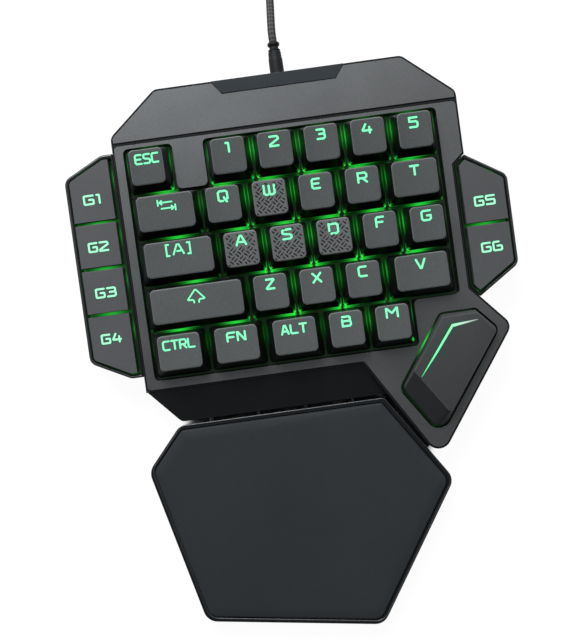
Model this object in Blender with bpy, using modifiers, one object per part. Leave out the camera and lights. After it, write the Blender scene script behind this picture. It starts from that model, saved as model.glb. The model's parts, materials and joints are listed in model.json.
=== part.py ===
# One-handed mechanical gaming keypad with a pull-off wrist rest.
# Metres, +Z up, +Y to the rear. The key deck is tilted towards the typist.
import math

import bmesh
import bpy
from mathutils import Matrix, Vector

for old in list(bpy.data.objects):
    bpy.data.objects.remove(old, do_unlink=True)

# General clearances
seat_gap = 0.0003
overrun = 0.003
weld = 0.000001
least_corner = 0.0003
fillet_step = 0.0012

# Deck: its own frame has X and Y along the key rows and Z square to the switch plate
deck_tilt = math.radians(4.5)
deck_height = 0.014
foot_height = 0.0015

# Keys
key_pitch = 0.01905
key_gap = 0.00095
key_travel = 0.004
cap_lift = 0.0063
cap_height = 0.009
cap_wall = 0.0014
cap_roof = 0.0018
cap_side_inset = 0.0022
cap_front_inset = 0.0028
cap_rear_inset = 0.0009
cap_corner = 0.0014
cap_rim = 0.0005
cap_dish = 0.0006
cap_trims = {
    "key_control": (0.0007, 0.0003), "key_function": (0.00045, 0.00045), "key_alt": (0.0006, 0.0003),
    "key_shift": (0.0005, -0.0005), "key_v": (0.001, 0.0006), "key_caps_lock": (0.0006, -0.0003),
    "key_g": (0.0003, -0.0003), "key_tab": (0.0003, -0.0001),
}
dish_facets = 4
row_height_shares = (1.0, 0.97, 0.95, 1.02, 1.12)
row_tilts = [math.radians(angle) for angle in (-4.0, -2.5, 0.5, 3.0, 5.0)]

# Each key's left edge, row counted from the front, and width, as shares of the pitch
key_cell_shares = (
    ("key_control", 0.0, 0, 1.25), ("key_function", 1.25, 0, 1.25), ("key_alt", 2.5, 0, 1.25),
    ("key_b", 3.75, 0, 1.0), ("key_m", 4.75, 0, 1.0),
    ("key_shift", 0.0, 1, 2.25), ("key_z", 2.25, 1, 1.0), ("key_x", 3.25, 1, 1.0),
    ("key_c", 4.25, 1, 1.0), ("key_v", 5.25, 1, 1.5),
    ("key_caps_lock", 0.0, 2, 1.75), ("key_a", 1.75, 2, 1.0), ("key_s", 2.75, 2, 1.0),
    ("key_d", 3.75, 2, 1.0), ("key_f", 4.75, 2, 1.0), ("key_g", 5.75, 2, 1.0),
    ("key_tab", 0.0, 3, 1.5), ("key_q", 1.5, 3, 1.0), ("key_w", 2.5, 3, 1.0),
    ("key_e", 3.5, 3, 1.0), ("key_r", 4.5, 3, 1.0), ("key_t", 5.5, 3, 1.25),
    ("key_escape", 0.0, 4, 1.0), ("key_1", 1.75, 4, 1.0), ("key_2", 2.75, 4, 1.0),
    ("key_3", 3.75, 4, 1.0), ("key_4", 4.75, 4, 1.0), ("key_5", 5.75, 4, 1.0),
)

# Switches: the housing is clipped in the plate, the slider moves with the key
housing_size = 0.014
housing_flange = 0.0152
housing_neck = (0.0106, 0.0112)
housing_height = 0.0066
slider_size = (0.0062, 0.0058)
slider_foot = 0.0012
slider_shoulder = 0.0074
slider_clearance = 0.0004
post_radius = 0.0027
post_sides = 8
stabiliser_spread = 0.01194
stabiliser_size = (0.0066, 0.0096)
stabiliser_stem = (0.0032, 0.0050)

# Plate and main board
plate_thickness = 0.0015
board_drop = 0.005
board_thickness = 0.0016
board_margin = 0.0012
boss_radius = 0.0018
boss_shares = ((0.04, 1), (0.5, 1), (0.86, 1), (0.04, 3), (0.5, 3), (0.97, 3))

# Top frame
frame_rise = 0.0065
frame_thickness = 0.002
well_margin = 0.0008
well_left_margin = 0.00063
well_right_margin = 0.00125
well_corner = 0.002
frame_left_width = 0.00347
frame_right_width = 0.00835
frame_front_width = 0.0034
frame_rear_width = 0.0015
frame_corner = 0.0015
skirt_wall = 0.0012
recess_depth = 0.0047
recess_start = 0.0198
recess_length = 0.052
recess_chamfer = 0.004

# Thumb lobe of the frame, and its well
lobe_reach = 0.0104
lobe_drop = 0.0434
lobe_width = 0.0621
lobe_tip_share = 0.4237
lobe_corner_share = 0.156
lobe_tip_corner = 0.0046
lobe_side_corner = 0.0035
thumb_border = 0.00428
thumb_web = 0.00665
thumb_well_width = 0.04504
thumb_well_length = 0.05176
thumb_well_shares = ((0.0, 0.435), (0.3289, 0.0), (1.0, 0.8106), (0.8027, 1.0), (0.4636, 1.0))
thumb_well_corners = (0.0045, 0.0053, 0.0034, 0.0015, 0.003)

# Thumb key
thumb_base_shares = ((0.0388, 0.438), (0.3367, 0.0358), (0.9772, 0.8095), (0.7948, 0.9845), (0.4729, 0.9845))
thumb_base_corners = (0.0032, 0.0045, 0.0026, 0.0008, 0.0022)
thumb_top_shares = ((0.152, 0.5691), (0.4344, 0.2003), (0.9483, 0.8039), (0.7931, 0.9641), (0.4768, 0.9627))
thumb_top_corner = 0.0012
thumb_skirt = 0.0042
thumb_shoulder = 0.0074
thumb_height = 0.0115
thumb_roof = 0.0016
thumb_wall = 0.0012
thumb_switch_shares = (0.5023, 0.6204)
slash_shares = ((0.219, 0.5166), (0.5585, 0.8722), (0.7908, 0.9036),
                (0.7919, 0.9115), (0.5347, 0.915), (0.2099, 0.5179))
slash_depth = 0.0007

# Bottom case
case_lip = 0.00085
case_wall = 0.0024
case_floor = 0.002
rim_drop = 0.0006
apron_depth = 0.01425
apron_chamfer = 0.0121
apron_corner = 0.002
apron_lap = 0.0003
apron_foot = 0.0015
sill_width = 0.0011
sill_drop = 0.004
sill_end_share = 0.915
groove_width = 0.0015
cover_depth = 0.01905
cover_chamfer = (0.01995, 0.01685)
cover_corner = 0.003

# Rear cover and its inlay
cover_thickness = 0.002
cover_rib = 0.0012
cover_rib_depth = 0.003
inlay_start = 0.0392
inlay_width = 0.0555
inlay_depth = 0.0055
inlay_slant = 0.0041
inlay_thickness = 0.0008

# Wings
wing_rise = 0.005
wing_depth = 0.0145
wing_wall = 0.0014
wing_floor = 0.0015
wing_inner_wall = 0.0008
wing_corner = 0.004
left_wing_start = 0.0017
left_wing_length = 0.0934
left_wing_reach = 0.02235
left_wing_rear_cut = (0.0163, 0.00835)
left_wing_front_cut = (0.0162, 0.0085)
left_split_shares = (0.2993, 0.5032, 0.7072)
right_wing_start = 0.02735
right_wing_side = 0.03735
right_wing_reach = 0.0176
right_wing_rear_slope = math.radians(32.2)
right_wing_front_slope = math.radians(33.2)
right_split_share = 0.4921

# Side keys in the wings, and the small switches under them
side_key_top = 0.0073
side_key_skirt = 0.001
side_key_glow_gap = 0.0008
side_key_gap = 0.0013
left_key_case_gap = 0.00125
right_key_case_gap = 0.00075
side_key_wall = 0.0012
side_key_roof = 0.0015
side_key_travel = 0.002
plunger_size = 0.0036
plunger_engagement = 0.0015
button_body = 0.008
button_height = 0.0037
button_board_margin = 0.0005

# Wrist rest
rest_gap = 0.0023
rest_width = 0.126
rest_length = 0.0939
rest_left_reach = 0.0047
rest_outline_shares = ((0.0, 0.8177), (0.1246, 0.1198), (0.706, 0.0), (1.0, 0.5971), (0.8053, 1.0), (0.1199, 1.0))
rest_corners = (0.0065, 0.006, 0.006, 0.006, 0.0025, 0.004)
rest_rear_height = 0.015
rest_slope = math.radians(3.2)
rest_rim = 0.00145
pad_thickness = 0.0025
pad_crown = 0.0008
pin_radius = 0.0012
pin_reach = 0.0022
pin_shares = (0.2288, 0.388, 0.5472, 0.7064)
pin_height = 0.0085

# Rubber feet
rubber_recess = 0.0008
rubber_corner = 0.0015
front_rubber = (0.104, 0.006)
front_rubber_place = (0.069, -0.012)
rear_rubber = (0.018, 0.008)
rear_rubber_inset = 0.0125
rear_rubber_setback = 0.0085
rest_rubber = (0.056, 0.006)
rest_rubber_shares = ((0.42, 0.84), (0.42, 0.17))

# Tilt feet
tilt_foot_width = 0.017
tilt_foot_length = 0.0125
tilt_foot_thickness = 0.003
tilt_foot_inset = 0.033
tilt_foot_setback = 0.006
tilt_pin_radius = 0.0009
tilt_pin_reach = 0.001
tilt_clearance = 0.0004
pocket_wall = 0.0016

# Cable
cord_diameter = 0.0035
cord_length = 1.5
relief_offset = 0.0674
relief_height = 0.0095
relief_length = 0.017
relief_radius = 0.00305
relief_neck_radius = 0.0023
relief_flange_radius = 0.0042
relief_flange = 0.0015
relief_shares = ((0.0, 1.0), (0.5, 0.99), (0.58, 0.96), (0.59, 0.93), (0.735, 0.9), (0.745, 0.8), (0.765, 0.8),
                 (0.775, 0.87), (0.8, 0.82), (0.835, 0.63), (0.865, 0.63), (0.89, 0.75), (0.915, 0.85), (0.955, 0.86),
                 (0.98, 0.77), (1.0, 0.63))
coil_clearance = 0.00046
coil_layers = 4
coil_turns = 13.25
coil_points = 24
coil_centre = (0.0925, 0.184)
tail_length = 0.045
tail_lead_share = 0.14
plug_width = 0.0155
plug_length = 0.030
plug_thickness = 0.0076
plug_corner = 0.002
plug_neck = 0.0048
plug_neck_length = 0.009
shell_size = (0.012, 0.0045)
shell_length = 0.0145
shell_wall = 0.0004
shell_window = 0.0022
shell_window_shares = ((0.55, -0.22), (0.55, 0.22))
tongue_thickness = 0.0018

model = bpy.data.collections.new("gaming_keypad")
cutters = bpy.data.collections.new("cutters")
for collection in (model, cutters):
    bpy.context.scene.collection.children.link(collection)


# Materials

def finish(name, colour, roughness, metallic=0.0):
    material = bpy.data.materials.new(name)
    material.use_nodes = True
    shader = material.node_tree.nodes["Principled BSDF"]
    shader.inputs["Base Color"].default_value = (*colour, 1.0)
    shader.inputs["Roughness"].default_value = roughness
    shader.inputs["Metallic"].default_value = metallic
    return material


cap_plastic = finish("cap_plastic", (0.085, 0.09, 0.095), 0.55)
frame_paint = finish("frame_paint", (0.07, 0.075, 0.08), 0.5)
case_plastic = finish("case_plastic", (0.012, 0.013, 0.014), 0.45)
gloss_plastic = finish("gloss_plastic", (0.01, 0.011, 0.012), 0.12)
wing_plastic = finish("wing_plastic", (0.03, 0.032, 0.034), 0.2)
pad_coating = finish("pad_coating", (0.03, 0.034, 0.038), 0.7)
housing_plastic = finish("housing_plastic", (0.01, 0.01, 0.01), 0.4)
board_laminate = finish("board_laminate", (0.01, 0.03, 0.02), 0.5)
light_window = finish("light_window", (0.45, 0.95, 0.75), 0.3)
foot_rubber = finish("foot_rubber", (0.02, 0.02, 0.02), 0.85)
cord_braid = finish("cord_braid", (0.015, 0.015, 0.016), 0.8)
plug_metal = finish("plug_metal", (0.75, 0.75, 0.74), 0.25, 1.0)


# Outlines: each corner is (x, y, fillet radius), counter-clockwise

def grown(corners, distance):
    """Move every edge of an outline out by a distance, or in by a negative one."""
    result = []
    for index, (x, y, radius) in enumerate(corners):
        before = corners[index - 1]
        after = corners[(index + 1) % len(corners)]
        arriving = Vector((x - before[0], y - before[1])).normalized()
        leaving = Vector((after[0] - x, after[1] - y)).normalized()
        normals = Vector((arriving.y + leaving.y, -arriving.x - leaving.x))
        shift = normals * (distance / (1 + arriving.dot(leaving)))
        outward = 1 if arriving.cross(leaving) > 0 else -1
        result.append((x + shift.x, y + shift.y, max(radius + outward * distance, least_corner) if radius else 0))
    return result


def filleted(corners, steps=0):
    """Points of an outline whose corners are rounded by arcs, in even steps unless a number is given."""
    points = []
    for index, (x, y, radius) in enumerate(corners):
        corner = Vector((x, y))
        before = Vector(corners[index - 1][:2]) - corner
        after = Vector(corners[(index + 1) % len(corners)][:2]) - corner
        if radius <= 0:
            points.append((x, y))
            continue
        half_angle = before.angle(after) / 2
        reach = min(radius / math.tan(half_angle), 0.45 * before.length, 0.45 * after.length)
        middle = (before.normalized() + after.normalized()).normalized()
        centre = corner + middle * (reach / math.cos(half_angle))
        first = corner + before.normalized() * reach - centre
        last = corner + after.normalized() * reach - centre
        sweep = math.atan2(first.cross(last), first.dot(last))
        count = steps or max(3, math.ceil(first.length * abs(sweep) / fillet_step))
        for step in range(count + 1):
            turned = Matrix.Rotation(sweep * step / count, 2) @ first
            points.append(tuple(centre + turned))
    return points


def rectangle(width, depth, centre, corner=0.0):
    x, y = centre
    return [(x - width / 2, y - depth / 2, corner), (x + width / 2, y - depth / 2, corner),
            (x + width / 2, y + depth / 2, corner), (x - width / 2, y + depth / 2, corner)]


# Solids

def new_object(name, mesh, collection=cutters):
    item = bpy.data.objects.new(name, mesh)
    collection.objects.link(item)
    if collection is cutters:
        item.hide_render = True
        item.display_type = "WIRE"
    return item


def slab(corners, low, high, steps=0):
    """A flat outline extruded from one height to another."""
    curve = bpy.data.curves.new("outline", "CURVE")
    curve.dimensions = "2D"
    curve.fill_mode = "BOTH"
    curve.extrude = (high - low) / 2
    spline = curve.splines.new("POLY")
    points = filleted(corners, steps)
    spline.points.add(len(points) - 1)
    for place, (x, y) in zip(spline.points, points):
        place.co = (x, y, 0, 1)
    spline.use_cyclic_u = True
    drawing = new_object("outline", curve)
    return meshed(drawing, Matrix.Translation((0, 0, (high + low) / 2)))


def meshed(drawing, matrix):
    """Turn a curve into a closed mesh object."""
    graph = bpy.context.evaluated_depsgraph_get()
    mesh = bpy.data.meshes.new_from_object(drawing.evaluated_get(graph))
    bpy.data.objects.remove(drawing)
    shape = bmesh.new()
    shape.from_mesh(mesh)
    bmesh.ops.remove_doubles(shape, verts=shape.verts, dist=weld)
    bmesh.ops.transform(shape, matrix=matrix, verts=shape.verts)
    bmesh.ops.recalc_face_normals(shape, faces=shape.faces)
    shape.to_mesh(mesh)
    shape.free()
    return new_object("solid", mesh)


def from_shape(shape, matrix=None):
    if matrix:
        bmesh.ops.transform(shape, matrix=matrix, verts=shape.verts)
    mesh = bpy.data.meshes.new("solid")
    shape.to_mesh(mesh)
    shape.free()
    return new_object("solid", mesh)


def block(low, high, matrix=None):
    """A box between two opposite corners."""
    shape = bmesh.new()
    bmesh.ops.create_cube(shape, size=1.0)
    for vert in shape.verts:
        vert.co = [low[axis] if vert.co[axis] < 0 else high[axis] for axis in range(3)]
    return from_shape(shape, matrix)


def tapered_block(base, top, low, high, shift=(0, 0), tilt=0.0, corner=0.0, rim=0.0):
    """A box with its own size at the top, moved aside and to the rear and tilted there."""
    shape = bmesh.new()
    bmesh.ops.create_cube(shape, size=1.0)
    upper = [vert for vert in shape.verts if vert.co.z > 0]
    for vert in shape.verts:
        size = top if vert in upper else base
        vert.co.x *= size[0]
        vert.co.y *= size[1]
        if vert in upper:
            vert.co.x += shift[0]
            vert.co.y += shift[1]
            vert.co.z = high + vert.co.y * math.tan(tilt)
        else:
            vert.co.z = low
    if corner:
        upright = [edge for edge in shape.edges if (edge.verts[0] in upper) != (edge.verts[1] in upper)]
        bmesh.ops.bevel(shape, geom=upright, offset=corner, segments=2, profile=0.5, affect="EDGES")
    if rim:
        roof = max(shape.faces, key=lambda face: face.calc_center_median().z)
        bmesh.ops.bevel(shape, geom=list(roof.edges), offset=rim, segments=1, affect="EDGES")
    return from_shape(shape)


def cylinder(radius, length, matrix, sides=16):
    """A round bar centred on the matrix's origin, along its Z."""
    shape = bmesh.new()
    bmesh.ops.create_cone(shape, cap_ends=True, segments=sides, radius1=radius, radius2=radius, depth=length)
    return from_shape(shape, matrix)


def loft(rings):
    """A closed skin through rings with the same number of points each."""
    shape = bmesh.new()
    loops = [[shape.verts.new(point) for point in ring] for ring in rings]
    for lower, upper in zip(loops, loops[1:]):
        for index, vert in enumerate(lower):
            after = (index + 1) % len(lower)
            shape.faces.new((vert, lower[after], upper[after], upper[index]))
    shape.faces.new(loops[0][::-1])
    shape.faces.new(loops[-1])
    return from_shape(shape)


def ring_at(corners, height, steps=3):
    return [(x, y, height) for x, y in filleted(corners, steps)]


def combine(body, tool, operation):
    """Join, cut or intersect one solid with another, which is used up."""
    modifier = body.modifiers.new("shape", "BOOLEAN")
    modifier.operation = operation
    modifier.solver = "EXACT"
    modifier.object = tool
    graph = bpy.context.evaluated_depsgraph_get()
    mesh = bpy.data.meshes.new_from_object(body.evaluated_get(graph))
    body.modifiers.clear()
    body.data = mesh
    bpy.data.objects.remove(tool)
    return body


def cut(body, *tools):
    for tool in tools:
        combine(body, tool, "DIFFERENCE")
    return body


def join(body, *tools):
    for tool in tools:
        combine(body, tool, "UNION")
    return body


def keep(body, *tools):
    for tool in tools:
        combine(body, tool, "INTERSECT")
    return body


def place(body, name, material, parent, location=(0, 0, 0)):
    """Give a finished solid its name, finish and place in the assembly."""
    cutters.objects.unlink(body)
    model.objects.link(body)
    body.name = name
    body.data.name = name
    body.hide_render = False
    body.display_type = "TEXTURED"
    body.data.materials.clear()
    body.data.materials.append(material)
    body.parent = parent
    body.location = location
    body.data.shade_smooth()
    body.data.set_sharp_from_angle(angle=math.radians(35))
    return body


def copy_of(body, name, parent, location):
    twin = bpy.data.objects.new(name, body.data)
    model.objects.link(twin)
    twin.parent = parent
    twin.location = location
    return twin


# Frames of reference: the stand lies on the desk, the deck is tilted on it
stand = bpy.data.objects.new("stand", None)
deck = bpy.data.objects.new("deck", None)
for empty in (stand, deck):
    model.objects.link(empty)
deck.parent = stand
deck.location = (0, 0, deck_height)
deck.rotation_euler = (deck_tilt, 0, 0)
deck_matrix = Matrix.Translation((0, 0, deck_height)) @ Matrix.Rotation(deck_tilt, 4, "X")
to_deck = deck_matrix.inverted()

# Main lines of the deck, worked out from the sizes above
block_width = key_pitch * max(left + width for _, left, _, width in key_cell_shares)
block_depth = key_pitch * (1 + max(row for _, _, row, _ in key_cell_shares))
front_row_end = key_pitch * max(left + width for _, left, row, width in key_cell_shares if row == 0)
tongue_start = key_pitch * min(left + width for _, left, row, width in key_cell_shares if row == 4)
tongue_end = key_pitch * min(left for _, left, row, _ in key_cell_shares if row == 4 and left > 0)
frame_left = -well_left_margin - frame_left_width
frame_right = block_width + well_right_margin + frame_right_width
frame_front = -well_margin - frame_front_width
frame_rear = block_depth + well_margin + frame_rear_width
frame_underside = frame_rise - frame_thickness
recess_side = frame_right - recess_depth
recess_end = recess_start + recess_length
lobe_side = frame_right + lobe_reach
lobe_start = lobe_side - lobe_width
lobe_tip = (lobe_start + lobe_tip_share * lobe_width, frame_front - lobe_drop)
cover_front = frame_rear + groove_width
cover_rear = cover_front + cover_depth
rim_height = frame_rise - rim_drop
apron_front = frame_front - apron_depth
apron_end = lobe_start + (lobe_tip[0] - lobe_start) * apron_depth / lobe_drop
case_depth = deck_height + cover_rear * math.tan(deck_tilt) + overrun
wall_inset = case_wall - case_lip
thumb_well_end = key_pitch - well_margin - thumb_web
thumb_well_side = lobe_side - thumb_border

main_well = [
    (-well_left_margin, -well_margin, well_corner),
    (front_row_end + well_margin, -well_margin, well_corner),
    (front_row_end + well_margin, key_pitch - well_margin, well_corner),
    (block_width + well_right_margin, key_pitch - well_margin, well_corner),
    (block_width + well_right_margin, block_depth + well_margin, well_corner),
    (tongue_end - well_margin, block_depth + well_margin, well_corner),
    (tongue_end - well_margin, block_depth - key_pitch + well_margin, well_corner),
    (tongue_start + well_margin, block_depth - key_pitch + well_margin, well_corner),
    (tongue_start + well_margin, block_depth + well_margin, well_corner),
    (-well_left_margin, block_depth + well_margin, well_corner),
]


def thumb_point(share):
    """A point of the thumb well's box, given as shares of its sides."""
    x = thumb_well_side - thumb_well_width * (1 - share[0])
    y = thumb_well_end - thumb_well_length * (1 - share[1])
    return x, y


thumb_well = [(*thumb_point(share), corner) for share, corner in zip(thumb_well_shares, thumb_well_corners)]
thumb_base = [(*thumb_point(share), corner) for share, corner in zip(thumb_base_shares, thumb_base_corners)]
thumb_top = [(*thumb_point(share), thumb_top_corner) for share in thumb_top_shares]
thumb_switch = thumb_point(thumb_switch_shares)


def frame_outline(rear):
    """The top frame with its lobe and the recess for the right wing."""
    return [
        (frame_left, frame_front, frame_corner),
        (lobe_start, frame_front, frame_corner),
        (*lobe_tip, lobe_tip_corner),
        (lobe_side, frame_front + lobe_corner_share * lobe_drop, lobe_side_corner),
        (recess_side, recess_start, 0),
        (recess_side, recess_end, 0),
        (frame_right, recess_end + recess_chamfer, 0),
        (frame_right, rear, frame_corner),
        (frame_left, rear, frame_corner),
    ]


cover_outline = [
    (frame_left, cover_front, 0),
    (frame_right, cover_front, 0),
    (frame_right, cover_rear - cover_chamfer[1], cover_corner),
    (frame_right - cover_chamfer[0], cover_rear, cover_corner),
    (frame_left + cover_chamfer[0], cover_rear, cover_corner),
    (frame_left, cover_rear - cover_chamfer[1], cover_corner),
]
bay_outline = [
    (frame_left, cover_front, 0),
    (frame_right, cover_front, 0),
    (frame_right - cover_chamfer[0], cover_rear, cover_corner),
    (frame_left + cover_chamfer[0], cover_rear, cover_corner),
]
shell_outline = [
    (frame_left, frame_front, 0),
    (lobe_start, frame_front, 0),
    (*lobe_tip, lobe_tip_corner),
    (lobe_side, frame_front + lobe_corner_share * lobe_drop, lobe_side_corner),
    (recess_side, recess_start, 0),
    (recess_side, recess_end, 0),
    (frame_right, recess_end + recess_chamfer, 0),
    *cover_outline[2:],
]
body_outline = [
    (frame_left, frame_front, frame_corner),
    (frame_left + apron_chamfer, apron_front, apron_corner),
    (apron_end, apron_front, 0),
    *shell_outline[2:],
]


# Switch plate with its housings

def switch_places():
    """Centre of each switch, the key block's first and the thumb key's last."""
    places = [((left + width / 2) * key_pitch, (row + 0.5) * key_pitch)
              for _, left, row, width in key_cell_shares]
    return places + [thumb_switch]


def stabiliser_places():
    shift = next(cell for cell in key_cell_shares if cell[0] == "key_shift")
    x = (shift[1] + shift[3] / 2) * key_pitch
    y = (shift[2] + 0.5) * key_pitch
    return [(x - stabiliser_spread, y), (x + stabiliser_spread, y)]


def gather(solids):
    """Put separate solids into one tool."""
    first, *others = solids
    shape = bmesh.new()
    for item in solids:
        shape.from_mesh(item.data)
    for item in others:
        bpy.data.objects.remove(item)
    shape.to_mesh(first.data)
    shape.free()
    return first


def moved(body, x, y):
    body.data.transform(Matrix.Translation((x, y, 0)))
    return body


def centred_block(size, low, high):
    return block((-size[0] / 2, -size[1] / 2, low), (size[0] / 2, size[1] / 2, high))


plate_cavity = grown(frame_outline(frame_rear + wall_inset), -wall_inset)
plate_outline = grown(plate_cavity, -seat_gap)
housing_foot = -board_drop + seat_gap
slider_floor = slider_foot - key_travel - slider_clearance
slider_hole = (slider_size[0] + 2 * slider_clearance, slider_size[1] + 2 * slider_clearance)
stem_hole = (stabiliser_stem[0] + 2 * slider_clearance, stabiliser_stem[1] + 2 * slider_clearance)


def switch_plate():
    plate = slab(plate_outline, -plate_thickness, 0)
    uppers = [moved(tapered_block((housing_flange, housing_flange), housing_neck,
                                  -plate_thickness / 2, housing_height), *spot) for spot in switch_places()]
    lowers = [moved(centred_block((housing_size, housing_size), housing_foot, -plate_thickness / 2),
                    *spot) for spot in switch_places()]
    frames = [moved(centred_block(stabiliser_size, housing_foot, housing_height), *spot)
              for spot in stabiliser_places()]
    holes = [moved(centred_block(slider_hole, slider_floor, housing_height + overrun), *spot)
             for spot in switch_places()]
    slots = [moved(centred_block(stem_hole, slider_floor, housing_height + overrun), *spot)
             for spot in stabiliser_places()]
    join(plate, gather(lowers), gather(uppers), gather(frames))
    cut(plate, gather(holes), gather(slots))
    return place(plate, "switch_plate", housing_plastic, deck)


def boss_places():
    return [(share * block_width, row * key_pitch) for share, row in boss_shares]


def circuit_board():
    low = -board_drop - board_thickness
    board = slab(grown(plate_outline, -board_margin), low, -board_drop)
    holes = [moved(cylinder(boss_radius + seat_gap, board_thickness * 4, Matrix.Translation((0, 0, low))), *spot)
             for spot in boss_places()]
    cut(board, gather(holes))
    return place(board, "circuit_board", board_laminate, deck)


# Keycaps: a hollow tapered cap with a dished top, a post and the switch's slider

def keycap(width_share, row, with_stabiliser, trims):
    base = (width_share * key_pitch - key_gap, key_pitch - key_gap)
    top = (base[0] - 2 * cap_side_inset - sum(trims), base[1] - cap_front_inset - cap_rear_inset)
    shift = ((trims[0] - trims[1]) / 2, (cap_front_inset - cap_rear_inset) / 2)
    tilt = row_tilts[row]
    crest = cap_lift + cap_height * row_height_shares[row]
    cap = tapered_block(base, top, cap_lift, crest, shift, tilt, cap_corner, cap_rim)
    inner_base = (base[0] - 2 * cap_wall, base[1] - 2 * cap_wall)
    inner_top = (top[0] - 2 * cap_wall, top[1] - 2 * cap_wall)
    hollow = tapered_block(inner_base, inner_top, cap_lift - cap_wall, crest - cap_roof, shift, tilt)
    dish_width = top[0] - 2 * cap_rim
    dish_radius = dish_width ** 2 / (8 * cap_dish) + cap_dish / 2
    facet = 2 * math.asin(dish_width / 2 / dish_radius) / dish_facets
    bottom = Matrix.Translation((shift[0], 0, crest - cap_dish)) @ Matrix.Rotation(tilt - math.pi / 2, 4, "X")
    sides = 4 * round(math.pi / 2 / facet)
    dish = cylinder(dish_radius, 2 * base[1], bottom @ Matrix.Translation((0, -dish_radius, 0)), sides)
    cut(cap, hollow, dish)
    ceiling = crest - cap_roof + cap_roof / 4
    post_length = ceiling - slider_shoulder + seat_gap
    stem = join(centred_block(slider_size, slider_foot, slider_shoulder),
                cylinder(post_radius, post_length,
                         Matrix.Translation((0, 0, ceiling - post_length / 2)), post_sides))
    join(cap, stem)
    if with_stabiliser:
        for side in (-1, 1):
            join(cap, moved(centred_block(stabiliser_stem, slider_foot, ceiling), side * stabiliser_spread, 0))
    return cap


def main_keys():
    shared = {}
    for name, left, row, width in key_cell_shares:
        spot = ((left + width / 2) * key_pitch, (row + 0.5) * key_pitch, 0)
        trims = cap_trims.get(name, (0, 0))
        kind = (row, width, trims)
        if kind in shared:
            copy_of(shared[kind], name, deck, spot)
            continue
        cap = keycap(width, row, name == "key_shift", trims)
        shared[kind] = place(cap, name, cap_plastic, deck, spot)


# Thumb key: a lofted cap with a sloping end facet, and the light slash let into it

def thumb_key():
    cap = loft([ring_at(thumb_base, thumb_skirt), ring_at(thumb_base, thumb_shoulder),
                ring_at(thumb_top, thumb_height)])
    inner = grown(thumb_base, -thumb_wall)
    inner_top = grown(thumb_top, -thumb_wall)
    hollow = loft([ring_at(inner, thumb_skirt - overrun), ring_at(inner, thumb_shoulder - thumb_roof),
                   ring_at(inner_top, thumb_height - thumb_roof)])
    cut(cap, hollow)
    slash = [(*thumb_point(share), 0) for share in slash_shares]
    pocket = slab(grown(slash, seat_gap), thumb_height - slash_depth - seat_gap, thumb_height + overrun)
    cut(cap, pocket)
    post_length = thumb_height - thumb_roof * 0.75 - slider_shoulder + seat_gap
    stem = join(centred_block(slider_size, slider_foot, slider_shoulder),
                cylinder(post_radius, post_length,
                         Matrix.Translation((0, 0, slider_shoulder - seat_gap + post_length / 2)), post_sides))
    join(cap, moved(stem, *thumb_switch))
    cap.data.transform(Matrix.Translation((-thumb_switch[0], -thumb_switch[1], 0)))
    key = place(cap, "thumb_key", cap_plastic, deck, (*thumb_switch, 0))
    light = slab(slash, thumb_height - slash_depth, thumb_height)
    light.data.transform(Matrix.Translation((-thumb_switch[0], -thumb_switch[1], 0)))
    place(light, "thumb_light", light_window, key)


# Top frame: a plate with a skirt round each well

def top_frame():
    frame = slab(frame_outline(frame_rear), frame_underside, frame_rise)
    for well in (main_well, thumb_well):
        join(frame, slab(grown(well, skirt_wall), seat_gap, frame_rise - frame_thickness / 2))
    for well in (main_well, thumb_well):
        cut(frame, slab(well, -overrun, frame_rise + overrun))
    return place(frame, "top_frame", frame_paint, deck)


# Rear cover with a locating rib, and the glossy inlay across its rear edge

inlay_front = cover_rear + case_lip - inlay_depth
inlay_floor = frame_rise - inlay_thickness
inlay_outline = [
    (inlay_start, cover_rear + case_lip, 0),
    (inlay_start + inlay_slant, inlay_front, 0),
    (inlay_start + inlay_width - inlay_slant, inlay_front, 0),
    (inlay_start + inlay_width, cover_rear + case_lip, 0),
]


def inlay_space():
    return slab(grown(inlay_outline, seat_gap), inlay_floor - seat_gap, frame_rise + overrun)


def rear_cover():
    cover = slab(cover_outline, frame_rise - cover_thickness, frame_rise)
    rib_outline = grown(bay_outline, -wall_inset - seat_gap)
    rib = slab(rib_outline, frame_rise - cover_thickness - cover_rib_depth, frame_rise - cover_thickness / 2)
    join(cover, rib)
    cut(cover, slab(grown(rib_outline, -cover_rib), -overrun, frame_rise - cover_thickness))
    cut(cover, inlay_space())
    place(cover, "rear_cover", frame_paint, deck)
    place(slab(inlay_outline, inlay_floor, frame_rise), "rear_inlay", gloss_plastic, deck)


# Wings: trays on the case's sides, each with its side keys

def level(low, high):
    """A wide level layer between two heights above the desk, in the deck's frame."""
    reach = case_depth + block_width + rest_width
    return block((-reach, -reach, low), (reach, reach, high), to_deck)


left_wing_outline = [
    (frame_left - left_wing_reach, left_wing_start + left_wing_front_cut[1], wing_corner),
    (frame_left - left_wing_reach + left_wing_front_cut[0], left_wing_start, wing_corner),
    (frame_left + case_wall, left_wing_start, 0),
    (frame_left + case_wall, left_wing_start + left_wing_length, 0),
    (frame_left - left_wing_reach + left_wing_rear_cut[0], left_wing_start + left_wing_length, wing_corner),
    (frame_left - left_wing_reach, left_wing_start + left_wing_length - left_wing_rear_cut[1], wing_corner),
]
right_wing_span = right_wing_reach + recess_depth + case_wall
right_wing_outline = [
    (frame_right + right_wing_reach, right_wing_start, wing_corner),
    (frame_right + right_wing_reach, right_wing_start + right_wing_side, wing_corner),
    (frame_right + right_wing_reach - right_wing_span,
     right_wing_start + right_wing_side + right_wing_span * math.tan(right_wing_rear_slope), 0),
    (frame_right + right_wing_reach - right_wing_span,
     right_wing_start - right_wing_span * math.tan(right_wing_front_slope), 0),
]
case_clear = case_lip + seat_gap
wing_underside = wing_rise - wing_depth
button_board_low = wing_underside + wing_floor + seat_gap
button_top = button_board_low + board_thickness + button_height
plunger_foot = button_top - plunger_engagement


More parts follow.
